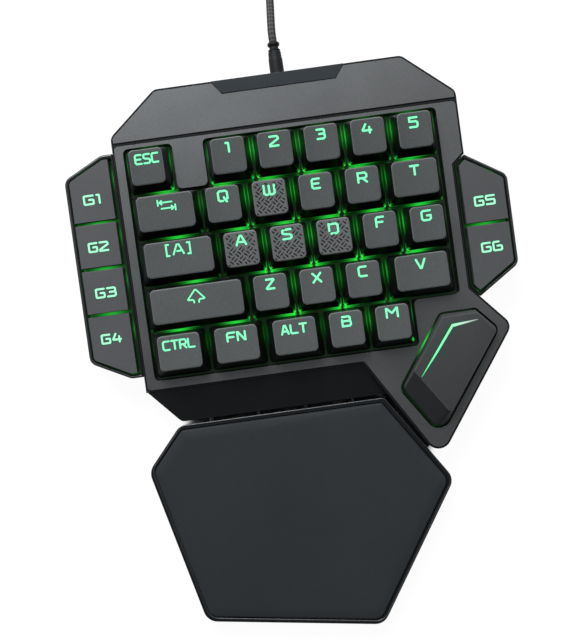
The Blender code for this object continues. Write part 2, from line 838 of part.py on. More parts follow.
def wing_shape(outline, inset, case_gap, low, high):
    """The space of a wing inside its outline and outside the case, both drawn in."""
    shape = slab(grown(outline, -inset), low, high)
    return cut(shape, slab(grown(body_outline, case_clear + case_gap), low - overrun, high + overrun))


def band(start, end):
    reach = block_width + left_wing_reach + right_wing_reach
    return block((-reach, start, -case_depth), (2 * reach, end, case_depth))


def wing(side, outline, splits, first_key, key_case_gap):
    tray = wing_shape(outline, 0, 0, wing_underside, wing_rise)
    cut(tray, wing_shape(outline, wing_wall, wing_inner_wall, wing_underside + wing_floor, wing_rise + overrun))
    place(tray, side + "_wing", wing_plastic, deck)
    board = wing_shape(outline, wing_wall + button_board_margin, wing_inner_wall + button_board_margin,
                       button_board_low, button_board_low + board_thickness)
    key_inset = wing_wall + side_key_glow_gap
    key_gap_inside = wing_inner_wall + key_case_gap
    lower = min(y for _, y, _ in outline)
    upper = max(y for _, y, _ in outline)
    edges = [lower - side_key_gap, *splits, upper + side_key_gap]
    bodies = []
    holes = []
    for index, (start, end) in enumerate(zip(edges, edges[1:])):
        start += side_key_gap / 2
        end -= side_key_gap / 2
        cap = keep(wing_shape(outline, key_inset, key_gap_inside, side_key_skirt, side_key_top), band(start, end))
        inner = keep(wing_shape(outline, key_inset + side_key_wall, key_gap_inside + side_key_wall,
                                side_key_skirt - overrun, side_key_top - side_key_roof),
                     band(start + side_key_wall, end - side_key_wall))
        low_x, low_y, high_x, high_y = extent(cap)
        spot = ((low_x + high_x) / 2, (low_y + high_y) / 2)
        cut(cap, inner)
        join(cap, moved(centred_block((plunger_size, plunger_size), plunger_foot,
                                      side_key_top - side_key_roof / 2), *spot))
        cap.data.transform(Matrix.Translation((-spot[0], -spot[1], 0)))
        number = first_key + (len(splits) - index)
        place(cap, "macro_key_%d" % number, cap_plastic, deck, (*spot, 0))
        low = button_board_low + board_thickness / 2
        bodies.append(moved(centred_block((button_body, button_body), low, button_top), *spot))
        hole = plunger_size + 2 * seat_gap
        holes.append(moved(centred_block((hole, hole), plunger_foot - side_key_travel - seat_gap,
                                         button_top + overrun), *spot))
    join(board, gather(bodies))
    cut(board, gather(holes))
    place(board, side + "_button_board", board_laminate, deck)


def extent(body):
    xs = [vert.co.x for vert in body.data.vertices]
    ys = [vert.co.y for vert in body.data.vertices]
    return min(xs), min(ys), max(xs), max(ys)


# Rubber feet, tilt feet and the strain relief stand level with the desk

def desk_outline(size, centre, corner=0.0):
    return rectangle(size[0], size[1], centre, corner)


rubber_feet = (
    ("front_rubber_foot", front_rubber, front_rubber_place),
    ("left_rubber_foot", rear_rubber, (frame_left + rear_rubber_inset + rear_rubber[0] / 2,
                                       frame_rear - rear_rubber_setback)),
    ("right_rubber_foot", rear_rubber, (frame_right - rear_rubber_inset - rear_rubber[0] / 2,
                                        frame_rear - rear_rubber_setback)),
)
rubber_top = foot_height + rubber_recess - seat_gap
tilt_axis_height = foot_height + tilt_foot_thickness / 2
tilt_axis_y = (deck_matrix @ Vector((0, cover_rear, tilt_axis_height - deck_height))).y - tilt_foot_setback
tilt_foot_spots = (("left_tilt_foot", frame_left + tilt_foot_inset),
                   ("right_tilt_foot", frame_right - tilt_foot_inset))
barrel_radius = tilt_foot_thickness / 2
pocket_low_y = tilt_axis_y + barrel_radius - tilt_foot_length - tilt_clearance
pocket_high_y = tilt_axis_y + barrel_radius + tilt_clearance
pocket_top = foot_height + tilt_foot_thickness + tilt_clearance
relief_back = cover_rear * math.cos(deck_tilt) - (relief_height - deck_height
                                                  - cover_rear * math.sin(deck_tilt)) * math.tan(deck_tilt)
relief_root = relief_back + case_lip / math.cos(deck_tilt)


def tilt_foot():
    """A flap with a round barrel on its axis and a pin at each end of it."""
    flap = block((-tilt_foot_width / 2, barrel_radius - tilt_foot_length, -barrel_radius),
                 (tilt_foot_width / 2, 0, barrel_radius))
    across = Matrix.Rotation(math.pi / 2, 4, "Y")
    join(flap, cylinder(barrel_radius, tilt_foot_width, across, 16))
    join(flap, cylinder(tilt_pin_radius, tilt_foot_width + 2 * tilt_pin_reach, across, 12))
    return flap


def tilt_feet():
    foot = None
    for name, x in tilt_foot_spots:
        spot = (x, tilt_axis_y, tilt_axis_height)
        if foot:
            copy_of(foot, name, stand, spot)
        else:
            foot = place(tilt_foot(), name, case_plastic, stand, spot)


def pocket(x, wall, top):
    """The space of one tilt foot's pocket, drawn out by a wall."""
    half = tilt_foot_width / 2 + tilt_clearance + wall
    return block((x - half, pocket_low_y - wall, -overrun), (x + half, pocket_high_y + wall, top + wall), to_deck)


def pin_hole(x):
    across = Matrix.Translation((x, tilt_axis_y, tilt_axis_height)) @ Matrix.Rotation(math.pi / 2, 4, "Y")
    length = tilt_foot_width + 2 * (tilt_pin_reach + seat_gap + tilt_clearance)
    return cylinder(tilt_pin_radius + seat_gap, length, to_deck @ across, 12)


# Bottom case: one tray under everything, with the sloping apron in front

def apron():
    """The wedge in front of the case, reaching a little way into it."""
    outer = grown(body_outline, case_lip)
    left = frame_left - case_lip + apron_lap
    right = outer[2][0] + apron_depth / 2
    front = frame_front - case_lip
    wedge = slab([(left, front + apron_lap, 0), outer[1], (right, outer[2][1], 0),
                  (right, front + apron_depth / 2, 0), (left + apron_depth / 2, front + apron_depth / 2, 0)],
                 -case_depth, rim_height - apron_lap)
    steepness = math.atan2(rim_height - apron_lap - apron_foot, apron_depth)
    above = block((-case_depth, -2 * case_depth, 0), (block_width + case_depth, apron_depth / 2, case_depth),
                  Matrix.Translation((0, front, rim_height - apron_lap)) @ Matrix.Rotation(steepness, 4, "X"))
    return cut(wedge, above)


def sill():
    """The low ledge along the lobe's left edge, next to the wrist rest."""
    start = Vector((lobe_start, frame_front))
    edge = Vector(lobe_tip) - start
    outward = Vector((edge.y, -edge.x)).normalized() * (case_lip + sill_width)
    first = start + edge * (apron_depth / lobe_drop / 2)
    last = start + edge * sill_end_share
    corners = [(*point, 0) for point in (first, first + outward, last + outward, last)]
    return slab(corners, -case_depth, -sill_drop)


def bottom_case():
    case = slab(grown(shell_outline, case_lip), -case_depth, rim_height)
    join(case, apron(), sill())
    seat = frame_underside - seat_gap
    cut(case, slab(grown(frame_outline(frame_rear), seat_gap), seat, rim_height + overrun),
        slab(grown(cover_outline, seat_gap), seat, rim_height + overrun))
    bay = slab(grown(bay_outline, -wall_inset), -case_depth - overrun, rim_height + overrun)
    hollow = slab(plate_cavity, -case_depth - overrun, rim_height + overrun)
    for space in (bay, hollow):
        cut(space, level(-2 * case_depth, foot_height + case_floor))
    bosses = [moved(cylinder(boss_radius, 2 * case_depth,
                             Matrix.Translation((0, 0, -plate_thickness - seat_gap - case_depth))), *spot)
              for spot in boss_places()]
    cut(hollow, gather(bosses))
    for _, x in tilt_foot_spots:
        cut(bay, pocket(x, pocket_wall, pocket_top))
    cut(case, hollow, bay, level(-2 * case_depth, foot_height))
    for _, x in tilt_foot_spots:
        cut(case, pocket(x, 0, pocket_top), pin_hole(x))
    for _, size, centre in rubber_feet:
        grip = grown(desk_outline(size, centre, rubber_corner), seat_gap)
        recess = slab(grip, -overrun, foot_height + rubber_recess)
        recess.data.transform(to_deck)
        cut(case, recess)
    cut(case, relief_tool(seat_gap), inlay_space())
    for share in pin_shares:
        cut(case, rest_pin(share, pin_radius + seat_gap, pin_reach + seat_gap, to_deck))
    return place(case, "bottom_case", case_plastic, deck)


# Locating pins between the wrist rest and the apron
case_front_y = (deck_matrix @ Vector((0, apron_front - case_lip, pin_height - deck_height))).y
rest_rear_y = case_front_y - rest_gap
rest_left = frame_left - rest_left_reach


def rest_pin(share, radius, reach, matrix):
    """One pin from just inside the wrist rest to its tip in the apron."""
    low = rest_rear_y - overrun
    high = case_front_y + reach
    spot = Matrix.Translation((rest_left + share * rest_width, (low + high) / 2, pin_height))
    return cylinder(radius, high - low, matrix @ spot @ Matrix.Rotation(math.pi / 2, 4, "X"), 10)


# Wrist rest

rest_front_y = rest_rear_y - rest_length
rest_outline = [(rest_left + share[0] * rest_width, rest_front_y + share[1] * rest_length, corner)
                for share, corner in zip(rest_outline_shares, rest_corners)]
slope_matrix = (Matrix.Translation((0, rest_rear_y, rest_rear_height)) @ Matrix.Rotation(rest_slope, 4, "X")
                @ Matrix.Translation((0, -rest_rear_y, 0)))


def wrist_rest():
    base = slab(rest_outline, foot_height, rest_rear_height + overrun)
    reach = rest_width + rest_length
    cut(base, block((-reach, rest_front_y - reach, 0), (2 * reach, reach, reach), slope_matrix))
    recess = slab(grown(rest_outline, -rest_rim), -pad_thickness - seat_gap, overrun)
    recess.data.transform(slope_matrix)
    cut(base, recess)
    for _, size, centre in rest_rubber_feet:
        grip = grown(desk_outline(size, centre, rubber_corner), seat_gap)
        cut(base, slab(grip, -overrun, foot_height + rubber_recess))
    join(base, *[rest_pin(share, pin_radius, pin_reach, Matrix()) for share in pin_shares])
    place(base, "wrist_rest_base", gloss_plastic, stand)
    pad_outline = grown(rest_outline, -rest_rim - seat_gap)
    crown_inset = pad_crown * 6
    pad = loft([ring_at(pad_outline, -pad_thickness, 5), ring_at(pad_outline, 0, 5),
                ring_at(grown(pad_outline, -pad_crown), pad_crown / 2, 5),
                ring_at(grown(pad_outline, -crown_inset), pad_crown, 5)])
    pad.data.transform(slope_matrix)
    place(pad, "wrist_rest_pad", pad_coating, stand)


rest_rubber_feet = [
    (name, rest_rubber, (rest_left + share[0] * rest_width, rest_front_y + share[1] * rest_length))
    for name, share in zip(("rest_rear_rubber_foot", "rest_front_rubber_foot"), rest_rubber_shares)
]


def all_rubber_feet():
    for name, size, centre in (*rubber_feet, *rest_rubber_feet):
        foot = slab(desk_outline(size, centre, rubber_corner), 0, rubber_top)
        place(foot, name, foot_rubber, stand)


# Strain relief: turned, with its flange inside the rear wall

relief_wall = case_wall / math.cos(deck_tilt)
relief_slant = relief_radius * math.tan(deck_tilt) + seat_gap


def relief_profile():
    """Radius and place along the axis, from the flange inside to the tip."""
    inside = -relief_wall - relief_slant
    run = relief_length - relief_slant
    stem = [(0, inside - relief_flange), (relief_flange_radius, inside - relief_flange),
            (relief_flange_radius, inside), (relief_neck_radius, inside), (relief_neck_radius, relief_slant)]
    sleeve = [(relief_radius * size, relief_slant + run * along) for along, size in relief_shares]
    return [*stem, *sleeve, (0, relief_length)]


def relief_tool(gap):
    """The hole through the rear wall that holds the strain relief's neck."""
    spot = Matrix.Translation((relief_offset, relief_root - relief_wall / 2, relief_height))
    return cylinder(relief_neck_radius + gap, relief_wall * 3,
                    to_deck @ spot @ Matrix.Rotation(math.pi / 2, 4, "X"), 16)


def turned(profile, steps):
    """A profile of radii and heights, from the bottom up, turned round the Z axis."""
    mesh = bpy.data.meshes.new("profile")
    mesh.from_pydata([(radius, 0, height) for radius, height in profile[::-1]],
                     [(index, index + 1) for index in range(len(profile) - 1)], [])
    line = new_object("profile", mesh)
    screw = line.modifiers.new("turn", "SCREW")
    screw.axis = "Z"
    screw.steps = steps
    screw.render_steps = steps
    screw.use_merge_vertices = True
    screw.merge_threshold = weld
    return meshed(line, Matrix())


def strain_relief():
    body = turned(relief_profile(), 16)
    body.data.transform(Matrix.Rotation(-math.pi / 2, 4, "X"))
    place(body, "strain_relief", case_plastic, stand, (relief_offset, relief_root, relief_height))


# Cord: the route's own points are chosen by hand, from the relief's tip to the coil

relief_tip = Vector((relief_offset, relief_root + relief_length + seat_gap, relief_height))
cord_rest = cord_diameter / 2
cord_lead = cord_diameter
coil_pitch = cord_diameter + coil_clearance
cord_route = [
    (0.0, 0.0, 0.0), (0.0, 0.0045, -0.0001), (0.0006, 0.0125, -0.0025), (0.0014, 0.0225, -0.0065),
    (0.0018, 0.0325, -0.0076), (0.0014, 0.0395, -0.00765), (0.0012, 0.0445, -0.00765),
]


def smooth(points, steps):
    """Points along a smooth curve through the given ones."""
    padded = [2 * points[0] - points[1], *points, 2 * points[-1] - points[-2]]
    result = []
    for a, b, c, d in zip(padded, padded[1:], padded[2:], padded[3:]):
        for step in range(steps):
            t = step / steps
            result.append(0.5 * (2 * b + (c - a) * t + (2 * a - 5 * b + 4 * c - d) * t ** 2
                                 + (3 * b - a - 3 * c + d) * t ** 3))
    result.append(points[-1])
    return result


def run_length(points):
    return sum((after - before).length for before, after in zip(points, points[1:]))


def tube(points, resolution):
    curve = bpy.data.curves.new("route", "CURVE")
    curve.dimensions = "3D"
    curve.bevel_depth = cord_diameter / 2
    curve.bevel_resolution = resolution
    curve.use_fill_caps = True
    spline = curve.splines.new("POLY")
    spline.points.add(len(points) - 1)
    for spot, point in zip(spline.points, points):
        spot.co = (*point, 1)
    return meshed(new_object("route", curve), Matrix())


def ease(share):
    """From 0 to 1 with level ends."""
    share = min(max(share, 0), 1)
    return share * share * (3 - 2 * share)


def coil_path(middle_radius):
    """Loops that spiral in and out in layers, climbing where the spiral reverses."""
    layer_turns = coil_turns / coil_layers
    outer = middle_radius + coil_pitch * layer_turns / 2
    inner = middle_radius - coil_pitch * layer_turns / 2
    count = round(coil_turns * coil_points)
    points = []
    for index in range(count + 1):
        turn = coil_turns * index / count
        layer = min(int(turn / layer_turns), coil_layers - 1)
        along = turn - layer * layer_turns
        radius = outer - coil_pitch * along if layer % 2 == 0 else inner + coil_pitch * along
        height = cord_rest + coil_pitch * sum(ease(2 * (turn - step * layer_turns) + 0.5)
                                              for step in range(1, coil_layers))
        angle = math.pi - 2 * math.pi * turn
        points.append(Vector((coil_centre[0] + radius * math.cos(angle),
                              coil_centre[1] + radius * math.sin(angle), height)))
    start = points[0] - Vector((0, cord_lead, 0))
    last = points[-1]
    tail_steps = round(tail_length / (2 * coil_pitch))
    tail = []
    for step in range(1, tail_steps + 1):
        share = step / tail_steps
        drop = ease((share - tail_lead_share) / (1 - 2 * tail_lead_share))
        tail.append(Vector((last.x + tail_length * share, last.y,
                            last.z + (plug_thickness / 2 - last.z) * drop)))
    end = tail[-1] + Vector((cord_lead, 0, 0))
    return [start, *points, *tail, end]


def least_gap(points):
    """The least clear space between stretches of a tube that lie a half turn or more apart."""
    least = math.inf
    half_turn = coil_points // 2
    for index, point in enumerate(points):
        for before, after in zip(points[index + half_turn:], points[index + half_turn + 1:]):
            run = after - before
            share = min(max((point - before).dot(run) / run.length_squared, 0), 1)
            least = min(least, (point - before - run * share).length)
    return least - cord_diameter


def cord():
    free = smooth([relief_tip + Vector(point) for point in cord_route], 2)
    radius = (cord_length - run_length(free)) / (2 * math.pi * coil_turns)
    for _ in range(4):
        path = coil_path(radius)
        radius += (cord_length - run_length(free) - run_length(path)) / (2 * math.pi * coil_turns)
    path = coil_path(radius)
    shift = free[-1] + Vector((0, seat_gap, 0)) - path[0]
    path = [point + shift for point in path]
    print("coil: least gap to itself", least_gap(path), "cord length", run_length(free) + run_length(path))
    place(tube(free, 2), "cord", cord_braid, stand)
    place(tube(path, 1), "cord_coil", cord_braid, stand)
    return path[-1] + Vector((seat_gap, 0, 0))


# Plug: an overmould with its neck towards the cord, a hollow metal shell and the tongue inside it

def plug(root):
    along = Matrix.Translation(root) @ Matrix.Rotation(math.pi / 2, 4, "Z") @ Matrix.Rotation(math.pi / 2, 4, "X")

    def section(width, height, corner, place_along):
        return ring_at(rectangle(width, height, (0, 0), corner), place_along)

    end = plug_neck_length + plug_length
    body = loft([
        section(plug_neck, plug_neck, plug_corner / 2, 0),
        section(plug_neck * 1.2, plug_neck * 1.2, plug_corner / 2, plug_neck_length),
        section(plug_width - plug_corner, plug_thickness - plug_corner, plug_corner, plug_neck_length + seat_gap),
        section(plug_width, plug_thickness, plug_corner, plug_neck_length + plug_corner),
        section(plug_width, plug_thickness, plug_corner, end - plug_corner / 2),
        section(plug_width - plug_corner / 2, plug_thickness - plug_corner / 2, plug_corner, end),
    ])
    bore = (shell_size[0] - 2 * shell_wall, shell_size[1] - 2 * shell_wall)
    tongue = centred_block((bore[0] - 2 * seat_gap, tongue_thickness), end - overrun, end + shell_length * 0.9)
    join(body, moved(tongue, 0, (bore[1] - tongue_thickness) / 2 - seat_gap))
    shell = centred_block(shell_size, end + seat_gap, end + shell_length)
    cut(shell, centred_block(bore, end - overrun, end + shell_length + overrun))
    for share_along, share_across in shell_window_shares:
        middle = end + share_along * shell_length
        window = centred_block((shell_window, 2 * shell_size[1]), middle - shell_window / 2,
                               middle + shell_window / 2)
        cut(shell, moved(window, share_across * shell_size[0], 0))
    for item, name, material in ((body, "usb_plug", case_plastic), (shell, "usb_shell", plug_metal)):
        item.data.transform(along)
        place(item, name, material, stand)


def reach_of_body():
    bpy.context.view_layer.update()
    low = Vector((math.inf,) * 3)
    high = Vector((-math.inf,) * 3)
    for item in model.objects:
        if item.type != "MESH" or item.name in ("cord", "cord_coil", "usb_plug", "usb_shell"):
            continue
        for vert in item.data.vertices:
            spot = item.matrix_world @ vert.co
            low = Vector(map(min, low, spot))
            high = Vector(map(max, high, spot))
    return low, high


switch_plate()
circuit_board()
main_keys()
thumb_key()
top_frame()
rear_cover()
wing("left", left_wing_outline, [left_wing_start + share * left_wing_length for share in left_split_shares],
     1, left_key_case_gap)
wing("right", right_wing_outline, [right_wing_start + right_split_share * right_wing_side],
     5, right_key_case_gap)
bottom_case()
wrist_rest()
all_rubber_feet()
tilt_feet()
strain_relief()
plug(cord())

# The origin is the middle of the keypad's base, without the cord
lowest, highest = reach_of_body()
stand.location = (-(lowest.x + highest.x) / 2, -(lowest.y + highest.y) / 2, -lowest.z)
print("body", highest - lowest)
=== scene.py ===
# Looks of the one-handed gaming keypad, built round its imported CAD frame.
import json
import math

import bmesh
import bpy
import numpy as np
from mathutils import Matrix, Vector

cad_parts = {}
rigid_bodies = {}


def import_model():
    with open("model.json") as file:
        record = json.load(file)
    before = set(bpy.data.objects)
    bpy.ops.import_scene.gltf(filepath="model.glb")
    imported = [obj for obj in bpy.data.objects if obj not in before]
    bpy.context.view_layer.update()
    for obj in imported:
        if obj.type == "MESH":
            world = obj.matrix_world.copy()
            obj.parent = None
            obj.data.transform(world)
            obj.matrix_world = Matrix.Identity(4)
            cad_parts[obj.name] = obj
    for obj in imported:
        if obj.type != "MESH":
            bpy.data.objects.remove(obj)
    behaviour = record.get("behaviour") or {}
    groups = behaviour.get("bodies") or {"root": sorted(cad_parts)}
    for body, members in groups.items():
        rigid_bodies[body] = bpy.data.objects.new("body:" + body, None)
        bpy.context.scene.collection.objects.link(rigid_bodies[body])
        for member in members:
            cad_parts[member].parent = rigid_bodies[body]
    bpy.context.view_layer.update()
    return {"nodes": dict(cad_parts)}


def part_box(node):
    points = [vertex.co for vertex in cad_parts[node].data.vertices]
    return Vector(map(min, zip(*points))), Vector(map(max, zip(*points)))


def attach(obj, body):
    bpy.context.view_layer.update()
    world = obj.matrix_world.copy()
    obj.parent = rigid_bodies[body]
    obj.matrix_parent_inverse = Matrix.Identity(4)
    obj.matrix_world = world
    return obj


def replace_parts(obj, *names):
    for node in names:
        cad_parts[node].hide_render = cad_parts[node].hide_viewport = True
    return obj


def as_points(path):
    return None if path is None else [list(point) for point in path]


for old in list(bpy.data.objects):
    bpy.data.objects.remove(old, do_unlink=True)
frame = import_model()
nodes = frame["nodes"]

# The deck is the tilted plane that the keys stand on: X and Y along the rows, Z square to the plate
deck = {
    "tilt": math.radians(4.5),
    "height": 0.014,
    "frontFoot": (0.069, -0.012),  # where the front rubber foot lies from the deck's corner
}
footLow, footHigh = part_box("front_rubber_foot")
footMiddle = (footLow + footHigh) / 2
deckCorner = Vector((footMiddle.x - deck["frontFoot"][0], footMiddle.y - deck["frontFoot"][1], deck["height"]))
deckMatrix = Matrix.Translation(deckCorner) @ Matrix.Rotation(deck["tilt"], 4, "X")


def newObject(name, data):
    made = bpy.data.objects.new(name, data)
    bpy.context.scene.collection.objects.link(made)
    return made


# Camera: over the keys, turned a little so that the rows run uphill
camera = {
    "spot": (0.0592, 0.0302, 0.4853),  # in the deck's frame
    "target": (0.0592, 0.0171, 0.0153),
    "roll": math.radians(7.84),
    "focalPixels": 1154.8,
    "imageHeight": 640,
    "sensor": 36.0,
}


def makeCamera():
    data = bpy.data.cameras.new("camera")
    data.sensor_width = camera["sensor"]
    data.lens = camera["sensor"] * camera["focalPixels"] / camera["imageHeight"]
    data.clip_start = 0.01
    data.clip_end = 20
    eye = newObject("camera", data)
    spot = Vector(camera["spot"])
    back = (spot - Vector(camera["target"])).normalized()
    level = Vector((1, 0, 0))
    above = back.cross(level)
    right = math.cos(camera["roll"]) * level - math.sin(camera["roll"]) * above
    up = math.sin(camera["roll"]) * level + math.cos(camera["roll"]) * above
    turn = Matrix((right, up, back)).transposed().to_4x4()
    eye.matrix_world = deckMatrix @ Matrix.Translation(spot) @ turn
    bpy.context.scene.camera = eye


makeCamera()
print("camera placed")


# Materials

def newMaterial(name, colour, roughness, metallic=0.0, specular=0.5):
    material = bpy.data.materials.new(name)
    material.use_nodes = True
    shader = material.node_tree.nodes["Principled BSDF"]
    shader.inputs["Base Color"].default_value = (*colour, 1)
    shader.inputs["Roughness"].default_value = roughness
    shader.inputs["Metallic"].default_value = metallic
    shader.inputs["Specular IOR Level"].default_value = specular
    return material, shader


def addNode(owner, kind, **values):
    # The owner is a material or the world
    node = owner.node_tree.nodes.new(kind)
    for name, value in values.items():
        setattr(node, name, value)
    return node


def link(owner, start, end):
    owner.node_tree.links.new(start, end)


def noiseOn(material, size, detail=4.0):
    # Noise whose features are about this many metres across
    place = addNode(material, "ShaderNodeTexCoord")
    noise = addNode(material, "ShaderNodeTexNoise")
    noise.inputs["Scale"].default_value = 1 / size
    noise.inputs["Detail"].default_value = detail
    link(material, place.outputs["Object"], noise.inputs["Vector"])
    return noise


def mapped(owner, source, fromRange=(0, 1), toRange=(0, 1), **values):
    # Carries one range of values over into another
    change = addNode(owner, "ShaderNodeMapRange", **values)
    for side, ends in (("From", fromRange), ("To", toRange)):
        for end, value in zip(("Min", "Max"), ends):
            change.inputs[side + " " + end].default_value = value
    link(owner, source, change.inputs["Value"])
    return change.outputs["Result"]


def reckoned(owner, operation, *terms):
    # A sum on numbers and on the outputs of other nodes
    node = addNode(owner, "ShaderNodeMath", operation=operation)
    for socket, term in zip(node.inputs, terms):
        if isinstance(term, (int, float)):
            socket.default_value = term
        else:
            link(owner, term, socket)
    return node.outputs["Value"]


def bumped(material, shader, source, strength, distance):
    bump = addNode(material, "ShaderNodeBump")
    bump.inputs["Strength"].default_value = strength
    bump.inputs["Distance"].default_value = distance
    link(material, source, bump.inputs["Height"])
    link(material, bump.outputs["Normal"], shader.inputs["Normal"])


def blended(material, share, first, second):
    # A colour between two others
    mix = addNode(material, "ShaderNodeMix", data_type="RGBA")
    mix.inputs["A"].default_value = (*first, 1)
    mix.inputs["B"].default_value = (*second, 1)
    link(material, share, mix.inputs["Factor"])
    return mix.outputs["Result"]


def seenBy(owner, *kinds):
    # 1 for these kinds of rays and 0 for the others
    rays = addNode(owner, "ShaderNodeLightPath")
    seen = rays.outputs[kinds[0]]
    for kind in kinds[1:]:
        seen = reckoned(owner, "MAXIMUM", seen, rays.outputs[kind])
    return seen


noiseFacts = {
    "usual": (0.3, 0.7),  # where most of a noise's values lie
    "speckSize": 0.0006,
    "grainStrength": 0.6,
}


def spread(material, noise, low, high):
    return mapped(material, noise.outputs["Fac"], noiseFacts["usual"], (low, high))


def plastic(name, colour, roughness, specular, grain=0.0004, depth=0.00002, mottle=0.08, patch=0.03, sheen=0.05,
            metallic=0.0, speck=0.07):
    # Moulded or painted plastic: fine grain, faint patches of tone, and a roughness that varies with handling
    material, shader = newMaterial(name, colour, roughness, metallic, specular)
    patches = noiseOn(material, patch, 3.0)
    tone = blended(material, spread(material, patches, 0, 1), [part * (1 - mottle) for part in colour],
                   [part * (1 + mottle) for part in colour])
    specks = noiseOn(material, noiseFacts["speckSize"], 1.0)
    speckled = addNode(material, "ShaderNodeVectorMath", operation="SCALE")
    link(material, tone, speckled.inputs["Vector"])
    link(material, spread(material, specks, 1 - speck, 1 + speck), speckled.inputs["Scale"])
    link(material, speckled.outputs["Vector"], shader.inputs["Base Color"])
    smears = noiseOn(material, patch / 3, 5.0)
    link(material, spread(material, smears, roughness - sheen, roughness + sheen), shader.inputs["Roughness"])
    if depth:
        bumped(material, shader, noiseOn(material, grain, 2.0).outputs["Fac"], noiseFacts["grainStrength"], depth)
    return material


def shineByAttribute(material, colour, strength):
    # Lets the mesh's glow attribute say how brightly each place shines with painted lamp light
    shader = material.node_tree.nodes["Principled BSDF"]
    shader.inputs["Emission Color"].default_value = (*colour, 1)
    share = addNode(material, "ShaderNodeAttribute", attribute_name="glow")
    link(material, reckoned(material, "MULTIPLY", share.outputs["Fac"], strength), shader.inputs["Emission Strength"])


def glowing(name, colour, base=(0.1, 0.1, 0.1)):
    # A lit plastic that shines evenly by its own colour
    material, shader = newMaterial(name, base, 0.4)
    shader.inputs["Emission Color"].default_value = (*colour, 1)
    shader.inputs["Emission Strength"].default_value = 1.0
    return material


glow = {
    "lamp": (0.03, 1.0, 0.07),  # the green of the lamps under the keys
    "legend": (0.17, 1.0, 0.5),
    "sideLegend": (0.33, 1.0, 0.6),
    "paintedGlowHalo": (0.0, 0.055, 0.028),
    "filmStrength": 1.25,
}
capTop = plastic("capTop", (0.077, 0.085, 0.088), 0.55, 0.2, mottle=0.05, speck=0.1)
# The caps' rounded rims are lighter and glossier than the tops: a painted highlight along the edges
capRimHighlight = plastic("capRimHighlight", (0.13, 0.138, 0.142), 0.4, 0.35, depth=0.0, mottle=0.05)
# The caps' walls: near-black as painted shade under the lit tops, and glowing with painted lamp light by their glow
# attribute
capWallShadeGlow = plastic("capWallShadeGlow", (0.006, 0.007, 0.007), 0.32, 0.3, mottle=0.05)
capInside = plastic("capInside", (0.006, 0.006, 0.006), 0.5, 0.2)
treadTop = plastic("treadTop", (0.108, 0.115, 0.118), 0.5, 0.3, mottle=0.05)
treadBar = plastic("treadBar", (0.006, 0.007, 0.008), 0.38, 0.4, depth=0.0, mottle=0.05)
sideKeyTop = plastic("sideKeyTop", (0.079, 0.084, 0.09), 0.5, 0.2, mottle=0.05)
framePaint = plastic("framePaint", (0.12, 0.127, 0.133), 0.4, 0.3, mottle=0.04, patch=0.05, metallic=0.85)
coverPaint = plastic("coverPaint", (0.115, 0.121, 0.127), 0.42, 0.3, mottle=0.04, patch=0.05, metallic=0.85)
casePlastic = plastic("casePlastic", (0.0115, 0.0135, 0.015), 0.5, 0.12, mottle=0.1)
glossPlastic = plastic("glossPlastic", (0.007, 0.009, 0.011), 0.16, 0.35, depth=0.0, mottle=0.15, sheen=0.03)
inlayGloss = plastic("inlayGloss", (0.019, 0.025, 0.031), 0.16, 0.35, depth=0.0, mottle=0.15, sheen=0.03)
wingPlastic = plastic("wingPlastic", (0.007, 0.008, 0.0085), 0.2, 0.35, depth=0.0, mottle=0.1, sheen=0.04)
# Brighter, more reflective finish on the rims' rounded crests than on the black wings and rest: a painted highlight
wingRimHighlight = plastic("wingRimHighlight", (0.075, 0.08, 0.085), 0.28, 0.4, depth=0.0, mottle=0.1, sheen=0.04, metallic=0.8)
restRimHighlight = plastic("restRimHighlight", (0.06, 0.064, 0.068), 0.28, 0.4, depth=0.0, mottle=0.1, sheen=0.04, metallic=0.8)
thumbPlastic = plastic("thumbPlastic", (0.049, 0.052, 0.054), 0.5, 0.2, mottle=0.05)
# The thumb key's rounded rim is lighter than its top: a painted highlight
thumbRimHighlight = plastic("thumbRimHighlight", (0.068, 0.072, 0.075), 0.45, 0.2, mottle=0.05)
# The thumb key's low facet is darker than its top: painted shade
thumbFacetShade = plastic("thumbFacetShade", (0.022, 0.024, 0.026), 0.45, 0.2, mottle=0.05)
padCoating = plastic("padCoating", (0.0265, 0.0305, 0.0345), 0.6, 0.15, grain=0.0003, mottle=0.08, patch=0.06)
housingPlastic = plastic("housingPlastic", (0.006, 0.006, 0.006), 0.4, 0.3)
boardLaminate = plastic("boardLaminate", (0.01, 0.035, 0.02), 0.45, 0.4)
footRubber = plastic("footRubber", (0.012, 0.012, 0.012), 0.85, 0.2, grain=0.0006, depth=0.00005)
legendGlow = glowing("legendGlow", glow["legend"])
sideLegendGlow = glowing("sideLegendGlow", glow["sideLegend"])
# A dim green glow round each legend and round the slash of the thumb key: a painted glow halo
paintedGlowHalo = glowing("paintedGlowHalo", glow["paintedGlowHalo"], (0.0, 0.02, 0.01))
# The films' sheet finish: dark, with painted lamp light as glow from its glow attribute
filmGlow, _ = newMaterial("filmGlow", (0.005, 0.008, 0.005), 0.4)
for lit in (filmGlow, capWallShadeGlow):
    shineByAttribute(lit, glow["lamp"], glow["filmStrength"])
plugMetal, _ = newMaterial("plugMetal", (0.75, 0.75, 0.74), 0.28, 1.0)
print("finishes mixed")


# Meshes

def meshObject(name, shape):
    mesh = bpy.data.meshes.new(name)
    shape.to_mesh(mesh)
    shape.free()
    return newObject(name, mesh)


def newPiece(name, shape, finish, body, smooth=math.radians(40)):
    piece = meshObject(name, shape)
    for material in finish:
        piece.data.materials.append(material)
    piece.data.shade_smooth()
    piece.data.set_sharp_from_angle(angle=smooth)
    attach(piece, body)
    return piece


def bridge(shape, lower, upper, index=0):
    # Quads between two rings with the same number of points
    for at, vert in enumerate(lower):
        after = (at + 1) % len(lower)
        shape.faces.new((vert, lower[after], upper[after], upper[at])).material_index = index


